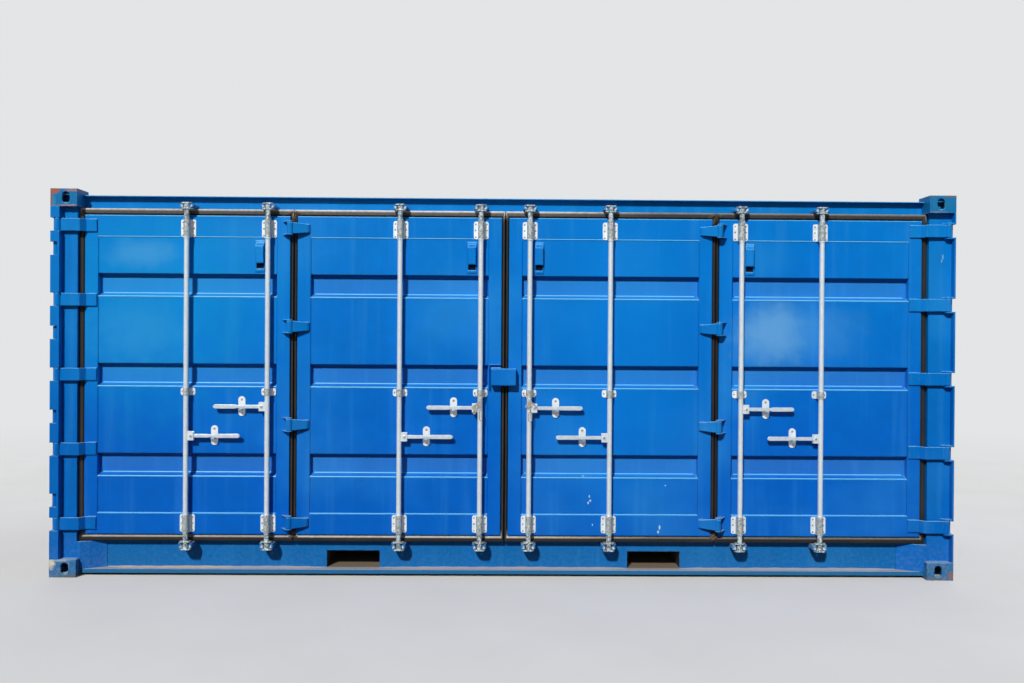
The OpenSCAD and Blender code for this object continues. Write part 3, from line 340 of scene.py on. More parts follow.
# The corner castings are cast steel, welded on the posts and painted with the frame. Lashings
# and twist-locks have rubbed them: pale primer, teal undercoat and orange rust at their corners.
rubbed = [
    (-3.004, 2.578, 0.042, 0.026, "#b0622f", 0.95), (-3.008, 2.505, 0.020, 0.040, "#2f93b8", 0.70),
    (-3.024, 2.520, 0.010, 0.060, "#9c5a34", 0.85), (-2.890, 2.578, 0.060, 0.010, "#c07a4a", 0.75),
    (-2.925, 2.478, 0.090, 0.009, "#b08f8c", 0.80), (-3.012, 0.100, 0.026, 0.052, "#d9d3c3", 0.95),
    (-2.960, 0.112, 0.080, 0.010, "#a9b9c4", 0.70), (-2.900, 0.010, 0.110, 0.012, "#6d6a60", 0.80),
    (2.990, 2.586, 0.060, 0.010, "#8d5a3a", 0.85), (2.880, 2.584, 0.030, 0.010, "#7a5a48", 0.80),
    (2.900, 2.480, 0.060, 0.008, "#8f8a9a", 0.60), (3.012, 0.030, 0.022, 0.034, "#8f6b52", 0.85),
    (2.900, 0.012, 0.110, 0.012, "#6a6f74", 0.80), (2.940, 2.530, 0.070, 0.030, "#2a7f96", 0.50)]
casting_paint = marine_paint("marine_paint_rubbed_on_castings", coat="#1a6ca8", bleached="#1173b2",
                             chalk="#4d98b6", clouds=0.5, dust=0.7, splash=0.5, wear=0.9, rust=0.22,
                             rough=0.5, bend=0.006, spots=rubbed)
dress(casting_paint, "top_castings", "bottom_castings")

# Cross members and fork ducts are bolted over with bitumen wax after the paint, brushed on by
# hand: near black, half matt, with the yard's dust on it.
def underseal(name):
    """Bitumen wax as nodes: brush marks 30 mm wide, and dust by a cloud pattern of 200 mm."""
    finish, tree, place = new_finish(name)
    drawn = node(tree, "Mapping", {"Vector": place, "Scale": (1.0, 0.15, 1.0)})
    brushed = noise(tree, drawn, 30, 3.0)
    dusted = noise(tree, place, 200, 5.0)
    dusted = ramp(tree, dusted, 0.45, 0.75, 0, 0.5)
    facing_up = node(tree, "SeparateXYZ", {0: node(tree, "NewGeometry", out="Normal")}, out="Z")
    lying = ramp(tree, facing_up, 0.5, 0.95, 0, 0.9)
    dusted = calc(tree, "MAXIMUM", dusted, lying)
    tint = mix(tree, brushed, "#15171a", "#2a2b2c")
    tint = mix(tree, dusted, tint, "#7d7263")
    relief = node(tree, "Bump", {"Height": brushed, "Distance": 0.002, "Strength": 0.6})
    surface(tree, {"Base Color": tint, "Roughness": 0.62, "IOR": 1.52, "Normal": relief})
    return finish


dress(underseal("brushed_bitumen_underseal"), "cross_members", "fork_pockets")

# The roof, back wall and end wall are corrugated sheet steel, 2 to 3 mm thick, welded on all
# sides and painted as the frame is. Nobody wipes them, so rain streaks and dust stay.
dress(marine_paint("marine_paint_rain_streaked_on_sheets", coat="#0763b4", bleached="#2a82c6",
                   clouds=0.6, dust=0.35, splash=0.5, wear=0.35, bend=0.010, rust=0.05,
                   rough=0.45), "roof", "back_wall", "end_wall")


# Floor panels are 28 mm plywood of tropical hardwood, with a rubbed-down phenolic face. The
# veneer runs along the container, and trolleys have scuffed it.
floor_wood, tree, place = new_finish("hardwood_plywood_phenolic_face")
along = node(tree, "Mapping", {"Vector": place, "Scale": (0.04, 1.0, 1.0)})
fibre = noise(tree, along, 9, 6.0, 0.65)
flame = node(tree, "TexNoise", {"Vector": along, "Scale": 1000 / 90, "Detail": 3.0,
                                "Distortion": 0.8})
scuffs = noise(tree, place, 160, 6.0, 0.7)
tint = mix(tree, fibre, "#6e4a2e", "#b1835a")
tint = mix(tree, ramp(tree, flame, 0.4, 0.7, 0, 0.5), tint, "#8a5d3c")
tint = mix(tree, ramp(tree, scuffs, 0.52, 0.70, 0, 0.6), tint, "#8f8072")
relief = node(tree, "Bump", {"Height": fibre, "Distance": 0.0006, "Strength": 0.7})
surface(tree, {"Base Color": tint, "Roughness": 0.6, "IOR": 1.5, "Normal": relief})
dress(floor_wood, "floor_panels")

# A side door leaf is a welded box frame round a pressed sheet, with three bands pressed back
# into it for stiffness. The sun has chalked the two outer leaves most. Small scratches show
# low on the third leaf.
scratches = [
    (0.578, 0.545, 0.005, 0.014, "#c0e4f6", 0.95), (0.584, 0.515, 0.009, 0.009, "#c0e4f6", 0.9),
    (0.571, 0.502, 0.006, 0.010, "#c0e4f6", 0.85), (1.056, 0.335, 0.006, 0.016, "#b6def2", 0.9),
    (1.046, 0.305, 0.008, 0.012, "#b6def2", 0.85), (0.600, 0.352, 0.005, 0.007, "#c0e4f6", 0.9),
    (1.094, 0.621, 0.005, 0.005, "#c0e4f6", 0.9), (0.537, 0.679, 0.010, 0.010, "#7fbdf0", 0.7)]
side_haze = [
    (-2.350, 1.900, 1.050, 1.000, "#0a98e2", 0.62), (0.800, 1.500, 0.750, 1.300, "#0488e6", 0.42),
    (1.980, 1.660, 0.560, 0.300, "#4a9ee6", 0.50), (1.800, 1.660, 0.300, 0.260, "#7ab8ec", 0.50),
    (-2.440, 2.170, 0.300, 0.130, "#4ba4e6", 0.60), (-2.460, 1.640, 0.400, 0.270, "#3a9fe4", 0.40),
    (1.700, 2.150, 0.300, 0.200, "#2590e0", 0.40)]
leaf_paint = marine_paint("marine_paint_on_side_doors", coat="#0061c8", bleached="#007cda",
                          clouds=0.20, dust=0.35, splash=0.0, wear=0.15, recess=0.16, bend=0.012,
                          rough=0.32, spots=scratches, haze=side_haze)
dress(leaf_paint, "side_door_leaves", "lock_box")
dress(marine_paint("marine_paint_on_end_doors", clouds=0.4, dust=0.35, wear=0.2, bend=0.012,
                   rough=0.34), "end_door_leaves")

# Hinge straps are forged blades welded to the leaves, and the pins are bar. They are painted in
# place, and swinging has bared their knuckles' edges.
hinge_paint = marine_paint("marine_paint_on_hinges", coat="#0067c2", bleached="#0080d6",
                           chalk="#4aa8ec", splash=0.0, wear=0.6, rust=0.05, bend=0.007)
dress(hinge_paint, "side_door_hinges", "end_door_hinges")

# Keepers are drop forgings, welded on the sill and header and painted over. The pale spots on
# their cheeks are partly steel that the cams rub bare and partly a painted highlight.
rod_places = np.array([-2.133, -1.591, -0.707, -0.165, 0.165, 0.707, 1.591, 2.133])
cheek_rubs_and_highlights = [(x + 0.027 * side, z, 0.014, 0.018, "#cfe4f4", 0.9)
          for z in (0.200, 2.486) for x in rod_places for side in (-1, 1)]
dress(marine_paint("marine_paint_on_forged_keepers", coat="#2a6cae", bleached="#3a80bc",
                   chalk="#9cc4e4", clouds=0.9, dust=0.4, splash=0.0, wear=1.0, rust=0.25,
                   rough=0.4, spots=cheek_rubs_and_highlights), "cam_keepers")


# Lock rods, cams, handles, catches and guides are steel, hot-dip galvanised after welding. The
# zinc is bright where it is handled, clouded with white bloom, and stained brown at its feet.
def galvanised(name, base="#c3c9cc", bloom=0.5, stain=0.3, rough=0.36, metallic=0.4, handled=0.0,
               scoured=0.0, round_off=2.5):
    """Zinc as nodes: spangle crystals about 14 mm across, white bloom in clouds of 60 mm, brown
    stain in streaks, a grey mottle where rods rub the covers before y = -1.168, and a dark one
    where the cams rub the rods' ends. Under the bloom zinc is a metal, and keeps the default
    IOR; the bloom itself is a white salt, so the sum is only partly metallic."""
    finish, tree, place = new_finish(name)
    crystals = node(tree, "TexVoronoi", {"Vector": place, "Scale": 1000 / 14}, out="Color")
    crystal = node(tree, "SeparateColor", {0: crystals}, out=0)
    clouds = noise(tree, place, 60, 4.0, 0.6)
    drawn = node(tree, "Mapping", {"Vector": place, "Scale": (1.0, 1.0, 0.25)})
    stains = noise(tree, drawn, 24, 4.0, 0.65)
    value = ramp(tree, crystal, 0, 1, 0.95, 1.04)
    tint = node(tree, "VectorMath", {0: colour(base)[:3], "Scale": value}, operation="SCALE")
    white = ease(tree, clouds, 0.38, 0.66, 0, bloom)
    tint = mix(tree, white, tint, "#edf4fa")
    brown = ease(tree, stains, 0.62, 0.78, 0, stain)
    tint = mix(tree, brown, tint, "#857a6c")
    if handled:
        before = node(tree, "SeparateXYZ", {0: place}, out="Y")
        before = ramp(tree, before, -1.164, -1.172, 0, handled)
        specks = noise(tree, place, 12, 4.0, 0.7)
        specks = ramp(tree, specks, 0.35, 0.62, 0.25, 1.0)
        before = calc(tree, "MULTIPLY", before, specks)
        tint = mix(tree, before, tint, "#74827f")
    if scoured:
        rod_middle = 1.352
        ends = calc(tree, "SUBTRACT", node(tree, "SeparateXYZ", {0: place}, out="Z"), rod_middle)
        ends = calc(tree, "ABSOLUTE", ends)
        ends = ramp(tree, ends, 0.95, 1.06, 0, scoured)
        specks = noise(tree, place, 14, 4.0, 0.7)
        specks = ramp(tree, specks, 0.42, 0.56)
        ends = calc(tree, "MULTIPLY", ends, specks)
        tint = mix(tree, ends, tint, "#55686c")
    rounded = node(tree, "Bevel", {"Radius": round_off / 1000}, samples=4)
    metal = ramp(tree, white, 0, 1, metallic, 0.5 * metallic)
    roughness = calc(tree, "MULTIPLY_ADD", white, 0.25, rough)
    relief = node(tree, "Bump", {"Height": clouds, "Distance": 0.0010, "Strength": 0.4,
                                 "Normal": rounded})
    surface(tree, {"Base Color": tint, "Roughness": roughness, "Metallic": metal, "Normal": relief})
    return finish


rod_zinc = galvanised("hot_dip_zinc_on_lock_rods", base="#d6e4ec", bloom=0.15, stain=0.08,
                      rough=0.34, metallic=0.4, scoured=0.9)
cover_zinc = galvanised("hot_dip_zinc_on_guides", base="#dce6ed", bloom=0.7, stain=0.25,
                        rough=0.42, metallic=0.3, handled=0.95)
handle_zinc = galvanised("hot_dip_zinc_on_handles", base="#c4d6e4", bloom=0.30, stain=0.25,
                         rough=0.30, metallic=0.5, round_off=6)
dress(rod_zinc, *[f"lock_rod_{i}" for i in range(1, 9)])
dress(cover_zinc, "side_door_guides")
dress(handle_zinc, "end_door_lock_gear", *[f"handle_{i}" for i in range(1, 9)])

# Door gaskets are extruded EPDM rubber, clipped round the edge of each leaf and crowned towards
# the frame. Pale dust lies on whatever of them faces up, least on the right leaves.
leaf_low, leaf_high = 0.278, 2.426
seal_rise, seal_free, seal_post = 0.044, 0.021, 0.035
side_leaves = [(-2.827, -1.451, seal_post, seal_free), (-1.401, -0.025, seal_free, seal_free),
               (0.025, 1.401, seal_free, seal_free), (1.451, 2.827, seal_free, seal_post)]
end_leaves = [(-1.017, -0.025, seal_post, seal_free), (0.025, 1.017, seal_free, seal_post)]


def rounded_loop(low, high, bottom, top, corner, turns=6):
    """Points round a rectangle whose corners are quarter circles of radius corner: each corner's
    centre plus corner * (cos a, sin a), for angles a through its quarter. One more point lies
    50 mm before each corner and one 50 mm after it, so that dust can end there."""
    angle = np.radians([180, 270, 0, 90])[:, None] + np.linspace(0, np.pi / 2, turns)[None, :]
    centre = np.array([[low + corner, bottom + corner], [high - corner, bottom + corner],
                       [high - corner, top - corner], [low + corner, top - corner]])
    arcs = centre[:, None, :] + corner * np.stack([np.cos(angle), np.sin(angle)], -1)
    ahead = 0.050 * np.stack([-np.sin(angle), np.cos(angle)], -1)
    points = np.concatenate([arcs[:, :1] - ahead[:, :1], arcs, arcs[:, -1:] + ahead[:, -1:]], 1)
    return points.reshape(-1, 2)


def gasket(low, high, wide_low, wide_high):
    """One gasket ring as three arrays: its points in the leaf's plane, their depths and their
    dust. A profile of shares u from the inner loop to the outer one and depths d is carried
    round: each point is (1 - u) * inner + u * outer, at depth d. Dust lies on the outer part of
    the top, on the inner part of the foot and in a thin line down the sides."""
    inner = rounded_loop(low, high, leaf_low, leaf_high, 0.001)
    outer = rounded_loop(low - wide_low, high + wide_high, leaf_low - seal_rise,
                         leaf_high + seal_rise, 0.003)
    share = np.array([0, 0, 50, 120, 200, 300, 380, 460, 560, 660, 760, 860, 930, 975, 1000, 1000])
    share = share / 1000
    depth = np.array([47, 12, 10, 6, 2.5, 0, -1, -1.8, -2.5, -3.2, -4, -4.6, -5, -4.8, -3.2, 47])
    depth = depth / 1000
    across = (1 - share)[:, None, None] * inner + share[:, None, None] * outer
    upward = np.clip(outer[:, 1] - leaf_high, 0, None) / seal_rise
    downward = np.clip(leaf_low - outer[:, 1], 0, None) / seal_rise
    outward = share[:, None]
    on_top = (0.16 * np.clip((outward - 0.22) / 0.12, 0, 1)
              + 0.84 * np.clip((outward - 0.70) / 0.14, 0, 1))
    on_foot = 0.58 * np.clip((0.50 - outward) / 0.12, 0, 1)
    on_sides = 0.05 * np.exp(-((outward - 0.60) / 0.10) ** 2)
    dust = on_top * upward + on_foot * downward + on_sides * (1 - upward) * (1 - downward)
    return across, np.broadcast_to(depth[:, None], across.shape[:2]), np.clip(dust, 0, 1)


def old_rubber(name, black, brown, pale):
    """Rubber as nodes: brown blotches 300 mm across, and pale dust by the mesh's own attribute,
    thinned by a grain of 25 mm, and by place along the doors: 1 in the middle, 0.75 on the left
    leaf, and thinning to 0.3 on the right ones."""
    finish, tree, place = new_finish(name)
    along = node(tree, "SeparateXYZ", {0: place}, out="X")
    grain = noise(tree, place, 25, 5.0, 0.65)
    blotch = noise(tree, place, 300, 3.0)
    laid = node(tree, "Attribute", out="Fac", attribute_name="dust")
    thinned = ramp(tree, grain, 0.3, 0.6, 0.7, 1.05)
    laid = calc(tree, "MULTIPLY", laid, thinned)
    on_right = ramp(tree, along, 0.20, 1.00, 1.0, 0.30)
    on_left = ramp(tree, along, -1.50, -1.38, 0.75, 1.0)
    laid = calc(tree, "MULTIPLY", laid, on_right)
    laid = calc(tree, "MULTIPLY", laid, on_left)
    browned = ramp(tree, blotch, 0.45, 0.66, 0.2, 0.8)
    tint = mix(tree, browned, black, brown)
    tint = mix(tree, laid, tint, pale)
    relief = node(tree, "Bump", {"Height": grain, "Distance": 0.0008, "Strength": 0.5})
    surface(tree, {"Base Color": tint, "Roughness": 0.7, "IOR": 1.5, "Specular IOR Level": 0.2,
                   "Normal": relief})
    return finish


def lay_dust(made, dust):
    """Stores on a mesh how much dust lies at each of its points."""
    held = made.data.attributes.new("dust", "FLOAT", "POINT")
    held.data.foreach_set("value", dust.astype(np.float32))


rubber = old_rubber("extruded_epdm_rubber_dusty", "#14171c", "#2c2622", "#f2eee8")


def gasket_object(name, rings, place_ring):
    """One object from several gasket rings. Each is closed into a tube round its profile."""
    points, faces, dusts, count = [], [], [], 0
    for ring in rings:
        across, depth, dust = gasket(*ring)
        rows, columns = depth.shape
        points.append(place_ring(across, depth).reshape(-1, 3))
        dusts.append(dust.ravel())
        faces += (quads(rows, columns, loop=True) + count).tolist()
        count += rows * columns
    made = new_object(name, np.concatenate(points), faces, rubber, bend=60.0)
    lay_dust(made, np.concatenate(dusts))
    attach(made, "root")
    return made


side_front, end_front = -1.147, -2.957
side_gasket = gasket_object(
    "gasket_rings_side_doors", side_leaves,
    lambda across, depth: np.stack([across[..., 0], side_front + depth, across[..., 1]], -1))
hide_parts("side_door_gaskets")
end_gasket = gasket_object(
    "gasket_rings_end_doors", end_leaves,
    lambda across, depth: np.stack([end_front + depth, across[..., 0], across[..., 1]], -1))
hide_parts("end_door_gaskets")

# Where two leaves of a pair meet, the corners of their gaskets have torn and dried up. The brown
# ends overlap in a crumpled knot that hangs a little over the upright joint, and a smaller knot
# lies at its foot.
def tube(path, radius, flat=(0.0, 1.0, 0.0), sides=8, closed=False):
    """A round bar along a path of points p: each point's ring is p + radius * (cos a * across +
    sin a * beside), where across is square to the path and to flat. The radius may change along
    the path. Open ends are closed by one face each."""
    path = np.asarray(path, float)
    ahead = np.roll(path, -1, 0) - np.roll(path, 1, 0) if closed else np.gradient(path, axis=0)
    ahead /= np.linalg.norm(ahead, axis=1, keepdims=True)
    across = np.cross(ahead, np.asarray(flat, float))
    across /= np.linalg.norm(across, axis=1, keepdims=True)
    beside = np.cross(ahead, across)
    angle = np.linspace(0, 2 * np.pi, sides, endpoint=False)[None, :, None]
    thick = np.broadcast_to(radius, len(path))[:, None, None]
    circle = np.cos(angle) * across[:, None, :] + np.sin(angle) * beside[:, None, :]
    rings = path[:, None, :] + thick * circle
    count = len(path)
    faces = quads(count, sides, loop=closed).tolist()
    if not closed:
        start = np.arange(sides)
        faces += [start[::-1].tolist(), (start + (count - 1) * sides).tolist()]
    return rings.reshape(-1, 3), faces


def joined(*shapes):
    """Several shapes, each a pair of points and faces, as one pair."""
    counts = np.cumsum([0] + [len(points) for points, _ in shapes])
    faces = [[c + count for c in face] for (_, part), count in zip(shapes, counts) for face in part]
    return np.concatenate([points for points, _ in shapes]), faces


def lumpy(count, thick, share, seed):
    """A radius for each of count points: thick, with lumps of that share as three sine waves."""
    t = np.linspace(0, 1, count)
    waves = (np.sin(9 * t + seed) + 0.6 * np.sin(23 * t + 2.1 * seed)
             + 0.4 * np.sin(41 * t + 3.7 * seed))
    return thick * (1 + share * waves / 2)


torn = []
knot_z = 2.452
for middle, sign in ((-1.426, 1.0), (1.426, -1.0)):
    t = np.linspace(-1, 1, 28)
    lying = np.stack([middle + 0.046 * t + 0.006 * sign, -1.146 - 0.004 * np.cos(5 * t),
                      knot_z + 0.006 * np.cos(3 * t + sign) - 0.010 * t ** 2], 1)
    torn.append(tube(lying, lumpy(28, 0.0125, 0.28, sign) * (1 - 0.45 * np.abs(t) ** 4)))
    t = np.linspace(0, 1, 22)
    hanging = np.stack([middle + 0.006 * sign + 0.008 * np.sin(6 * t),
                        -1.144 - 0.003 * np.sin(9 * t), knot_z - 0.066 * t], 1)
    torn.append(tube(hanging, lumpy(22, 0.0120, 0.25, 2 + sign) * (1 - 0.5 * t ** 3), (0, 1, 0)))
    t = np.linspace(-1, 1, 24)
    foot = np.stack([middle + 0.030 * t, np.full(24, -1.1465),
                     0.264 + 0.006 * np.sin(4 * t + sign)], 1)
    stump = np.stack([middle + 0.005 * np.sin(3 * t), np.full(24, -1.1455), 0.284 + 0.022 * t], 1)
    thinning = 1 - 0.5 * np.abs(t) ** 3
    torn += [tube(foot, lumpy(24, 0.0125, 0.35, 4 + sign) * thinning),
             tube(stump, lumpy(24, 0.0120, 0.35, 6 + sign) * thinning, (0, 1, 0))]
dried_rubber = old_rubber("torn_epdm_rubber_dried_brown", "#3a322d", "#6d5b50", "#b7a99a")
points, faces = joined(*torn)
torn_corners = new_object("torn_gasket_corners", points, faces, dried_rubber)
lay_dust(torn_corners, 0.5 * np.clip((points[:, 2] - 2.448) / 0.012, 0, 1))
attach(torn_corners, "root")

# Rivets, bolts and pin heads are turned or headed steel. The guides and catches are fixed with
# dull blind rivets, and a dark pin head shows on each handle's fork.
steel_heads = galvanised("dull_zinc_on_rivet_heads", base="#8d9498", bloom=0.15, stain=0.5,
                         rough=0.5, metallic=0.7)


def turned(profile, centres, axis, sides=12):
    """Solids of revolution, one at each centre: a profile point of radius r and height h goes to
    centre + h * axis + r * (cos a * across + sin a * beside) for angles a through a full turn.
    The profile starts and ends on the axis, where its ring is one point."""
    profile = np.asarray(profile, float)
    axis = np.asarray(axis, float)
    across = np.cross(axis, (1.0, 0.0, 0.0) if abs(axis[2]) > 0.5 else (0.0, 0.0, 1.0))
    beside = np.cross(axis, across)
    angle = np.linspace(0, 2 * np.pi, sides, endpoint=False)[:, None]
    circle = np.cos(angle) * across + np.sin(angle) * beside
    rings = profile[1:-1, 0, None, None] * circle + profile[1:-1, 1, None, None] * axis
    one = np.concatenate([rings.reshape(-1, 3), profile[[0, -1], 1, None] * axis])
    count = len(profile) - 2
    start = np.arange(sides)
    after = (start + 1) % sides
    first = np.stack([start, after, np.full(sides, count * sides)], 1)
    last = np.stack([after + (count - 1) * sides, start + (count - 1) * sides,
                     np.full(sides, count * sides + 1)], 1)
    centres = np.reshape(centres, (-1, 3))
    offset = (np.arange(len(centres)) * len(one))[:, None, None]
    faces = []
    for part in (quads(count, sides), first, last):
        faces += (part + offset).reshape(-1, part.shape[1]).tolist()
    return (centres[:, None, :] + one).reshape(-1, 3), faces


def spots_at(xs, ys, zs):
    """Every pairing of the places given along x and z, at depth ys."""
    x, z = np.meshgrid(xs, zs, indexing="ij")
    return np.stack([x, np.broadcast_to(ys, x.shape), z], -1).reshape(-1, 3)


def along_end(points):
    """The same places on the left end, where a leaf's x runs along y and its depth along x."""
    side_face, end_face = -1.156, -2.966
    return np.stack([end_face + points[:, 1] - side_face, points[:, 0], points[:, 2]], 1)


reach = np.array([1, -1, 1, -1, 1, -1, 1, -1])
handle_heights = np.array([0.947, 1.144, 0.947, 1.144, 1.144, 0.947, 1.144, 0.947])
end_places = np.array([-0.877, -0.165, 0.165, 0.877])
end_reach = np.array([1, -1, 1, -1])
end_heights = np.array([0.947, 1.144, 1.144, 0.947])
rivet = np.array([[0, 3.4], [2.8, 2.9], [5.0, 1.6], [6.2, 0.2], [6.2, -1.5], [0, -1.5]]) / 1000
dot = np.array([[0, 0.8], [2.6, 1.0], [4.6, 0.6], [5.6, -0.4], [5.6, -2.0], [0, -2.0]]) / 1000
flange_y, middle_flange_y, catch_y, cover_y = -1.160, -1.158, -1.159, -1.2172
guide_z = np.array([0.355, 2.339])[:, None]
rivet_z = (guide_z + np.array([-0.046, 0.0, 0.040])).ravel()
cover_z = (guide_z + np.array([-0.042, 0.042])).ravel()
for name, places, toward, heights, wall in (
        ("side_doors", rod_places, reach, handle_heights, lambda points: points),
        ("end_doors", end_places, end_reach, end_heights, along_end)):
    out = (0, -1, 0) if name == "side_doors" else (-1, 0, 0)
    flanges = (places[:, None] + np.array([-0.037, 0.037])).ravel()
    catches = places + 0.180 * toward
    catch_holes = np.stack([catches, np.full(len(catches), catch_y + 0.0005), heights + 0.044], 1)
    low_rivets = np.stack([catches, np.full(len(catches), catch_y), heights - 0.046], 1)
    heads = [turned(rivet, wall(spots_at(flanges, flange_y, rivet_z)), out, 10),
             turned(rivet, wall(spots_at(flanges, middle_flange_y, [1.241])), out, 10),
             turned(rivet, wall(low_rivets), out, 10),
             turned(dot, wall(spots_at(places - 0.004, cover_y, cover_z)), out, 10),
             turned(dot * 1.3, wall(catch_holes), out, 10)]
    made = new_object(f"rivets_on_guides_{name}", *joined(*heads), steel_heads)
    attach(made, "root")

# Each handle turns on a rivet in its fork. The head is upset by hand, so it is domed with a rim.
head = np.array([[0, 3.0], [3.2, 2.7], [5.6, 1.5], [6.4, 0.2], [7.6, 0.0], [8.2, -0.6],
                 [8.2, -1.6], [0, -1.6]]) / 1000
fork_y = -1.2130
for i in range(8):
    centre = (rod_places[i] + 0.036 * reach[i], fork_y, handle_heights[i])
    made = new_object(f"handle_rivet_head_{i + 1}", *turned(head, centre, (0, -1, 0), 16),
                      steel_heads)
    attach(made, f"rod_{i + 1}")

# Behind each vent cover's mouth lies a near-black pad drawn as black-coated wire gauze, a dark
# sheet that stands in for the shade inside the opening as painted shade. Its weave of 1.5 mm is
# drawn at 4 mm, because a finer one would not show.
shade_pad_gauze, tree, place = new_finish("woven_gauze_black_as_painted_shade")
wires = [node(tree, "TexWave", {"Vector": place, "Scale": 1000 / 4 / 6.28}, bands_direction=way)
         for way in "XZ"]
woven = calc(tree, "MAXIMUM", *[node(tree, "SeparateColor", {0: wire}, out=0) for wire in wires])
# Painted shade: near black and navy, so that the vent's mouth reads dark.
tint = mix(tree, woven, "#01060f", "#071a38")
relief = node(tree, "Bump", {"Height": woven, "Distance": 0.001, "Strength": 0.7})
surface(tree, {"Base Color": tint, "Roughness": 0.9, "IOR": 1.5, "Specular IOR Level": 0.1,
               "Normal": relief})


def screen_pad(x, low_z, high_z, half=0.0255, face=-1.1562, back=-1.1542):
    """A thin pad on a grid of 9 by 9 points that bows forward by 0.4 mm times
    (1 - u * u) * (1 - v * v), closed by a flat back."""
    u, v = np.meshgrid(np.linspace(-1, 1, 9), np.linspace(-1, 1, 9), indexing="ij")
    y = face - 0.0004 * (1 - u ** 2) * (1 - v ** 2)
    z = (low_z + high_z) / 2 + (high_z - low_z) / 2 * v
    before = np.stack([x + half * u, y, z], -1).reshape(-1, 3)
    rim = np.concatenate([np.arange(0, 72, 9), np.arange(72, 81), np.arange(71, 0, -9),
                          np.arange(7, 0, -1)])
    behind = before[rim] * (1, 0, 1) + (0, back, 0)
    start = np.arange(len(rim))
    after = (start + 1) % len(rim)
    first = len(before)
    sides = np.stack([rim[start], rim[after], first + after, first + start], 1)
    faces = quads(9, 9, ring=False).tolist() + sides.tolist() + [(first + start).tolist()]
    return np.concatenate([before, behind]), faces


vent_places = [-1.653, -0.227, 0.227, 1.653]
screens = joined(*[screen_pad(x, 2.0715, 2.1075) for x in vent_places])
made = new_object("vent_screens_as_painted_shade", *screens, shade_pad_gauze)
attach(made, "root")

# Painted bolts hold the vent covers, and the pins of the right post's hinges have welded caps
# on top of their upper lugs.
cover_bolts = turned(rivet, spots_at(vent_places, -1.1570, [2.060]), (0, -1, 0), 10)
pin_cap = np.array([[0, 5.0], [6.0, 4.6], [9.5, 2.6], [11.0, 0.4], [11.0, -1.0], [0, -1.0]]) / 1000
hinge_heights = 0.354 + 0.5 * np.arange(5)
post_caps = turned(pin_cap, spots_at([2.988], -1.197, hinge_heights + 0.054), (0, 0, 1), 16)
made = new_object("vent_bolts_and_pin_caps", *joined(cover_bolts, post_caps), hinge_paint)
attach(made, "root")


# Welds are laid by hand with a wire welder and painted over with the frame, so they show as
# rippled beads in the coat. They run where a leaf's sheet meets its frame, round the straps, and
# between posts and castings.
def bead(path, thick, flat=(0.0, 1.0, 0.0)):
    """A weld bead along a path of corner points: the path is cut every 4 mm, and the radius rises
    and falls by a tenth with each 9 mm."""
    corners = np.asarray(path, float)
    run = np.concatenate([[0], np.cumsum(np.linalg.norm(np.diff(corners, axis=0), axis=1))])
    s = np.linspace(0, run[-1], max(int(run[-1] / 0.004), 3))
    points = np.stack([np.interp(s, run, corners[:, k]) for k in range(3)], 1)
    return tube(points, thick * (1 + 0.10 * np.sin(2 * np.pi * s / 0.009)), flat, sides=6)


# The beads on the leaves and the bend lines below get a paint much paler than the leaves' own: a
# painted highlight for the glint along their tops.
pale_weld_and_glint_paint = marine_paint("marine_paint_over_weld_beads_as_painted_highlight", coat="#64c2fb", bleached="#78cdfc",
                          clouds=0.2, dust=0.2, splash=0.0, wear=0.2, bend=0.002, rough=0.3)
seams = []
sheet_y, bend_y, band_floor_y = -1.1545, -1.1528, -1.1175
for low, high, _, _ in side_leaves:
    left, right_edge = low + 0.090, high - 0.090
    seams += [bead([(left, sheet_y, z), (right_edge, sheet_y, z)], thick)
              for z, thick in ((0.4205, 0.0038), (2.2824, 0.0036))]
    # The press rounds each band's bends. Along those of the lower slope a thin rounding in the pale
    # weld paint is laid as a bright line, partly chalked paint and partly a painted highlight.
    for z in (0.6695, 1.2745, 1.8795):
        inner_ends = (left + 0.022, right_edge - 0.022)
        seams += [tube([(left, bend_y, z), (right_edge, bend_y, z)], 0.0048),
                  tube([(x, band_floor_y, z + 0.0235) for x in inner_ends], 0.0045)]
for low, high, _, _ in end_leaves:
    seams += [bead([(-2.9645, y, z) for y in (low + 0.09, high - 0.09)], 0.003, (1, 0, 0))
              for z in (0.4205, 2.2840)]
made = new_object("weld_beads_and_glint_lines_on_leaves", *joined(*seams), pale_weld_and_glint_paint)
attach(made, "root")
seams = [bead([(x, sheet_y, bottom), (x, sheet_y, top)], 0.0030) for low, high, _, _ in side_leaves
         for x in (low + 0.088, high - 0.088)
         for bottom, top in ((0.425, 0.668), (0.826, 1.273), (1.431, 1.878), (2.036, 2.280))]
made = new_object("weld_beads_on_stiles", *joined(*seams), leaf_paint)
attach(made, "root")

fold_heights = 0.364 + 0.6595 * np.arange(4)
post_strap = ((2.800, 0.043), (2.745, 0.043), (2.744, -0.043), (2.800, -0.043))
fold_strap = ((1.350, 0.032), (1.3185, 0.0285), (1.3185, -0.0285), (1.350, -0.032))
leaf_y = -1.1565
seams = []
for sign in (-1, 1):
    for heights, strap in ((hinge_heights, post_strap), (fold_heights, fold_strap)):
        seams += [bead([(sign * x, leaf_y, z + h) for x, h in strap], 0.0030) for z in heights]
for sign in (-1, 1):
    for y in (-1.174, 1.2145):
        far, near = (2.868, 3.012) if y < 0 else (2.852, 3.020)
        seams += [bead([(sign * far, y, z), (sign * near, y, z)], 0.0035) for z in (0.1185, 2.4725)]
for y, z in ((1.2085, 2.5565), (1.2085, 2.497), (1.2085, 0.2435)):
    seams.append(bead([(-2.850, y, z), (2.850, y, z)], 0.003))
seams.append(bead([(2.852, -1.050, 2.5595), (2.852, 1.050, 2.5595)], 0.0032, (0, 0, 1)))
made = new_object("weld_beads_on_frame", *joined(*seams), hinge_paint)
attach(made, "root")

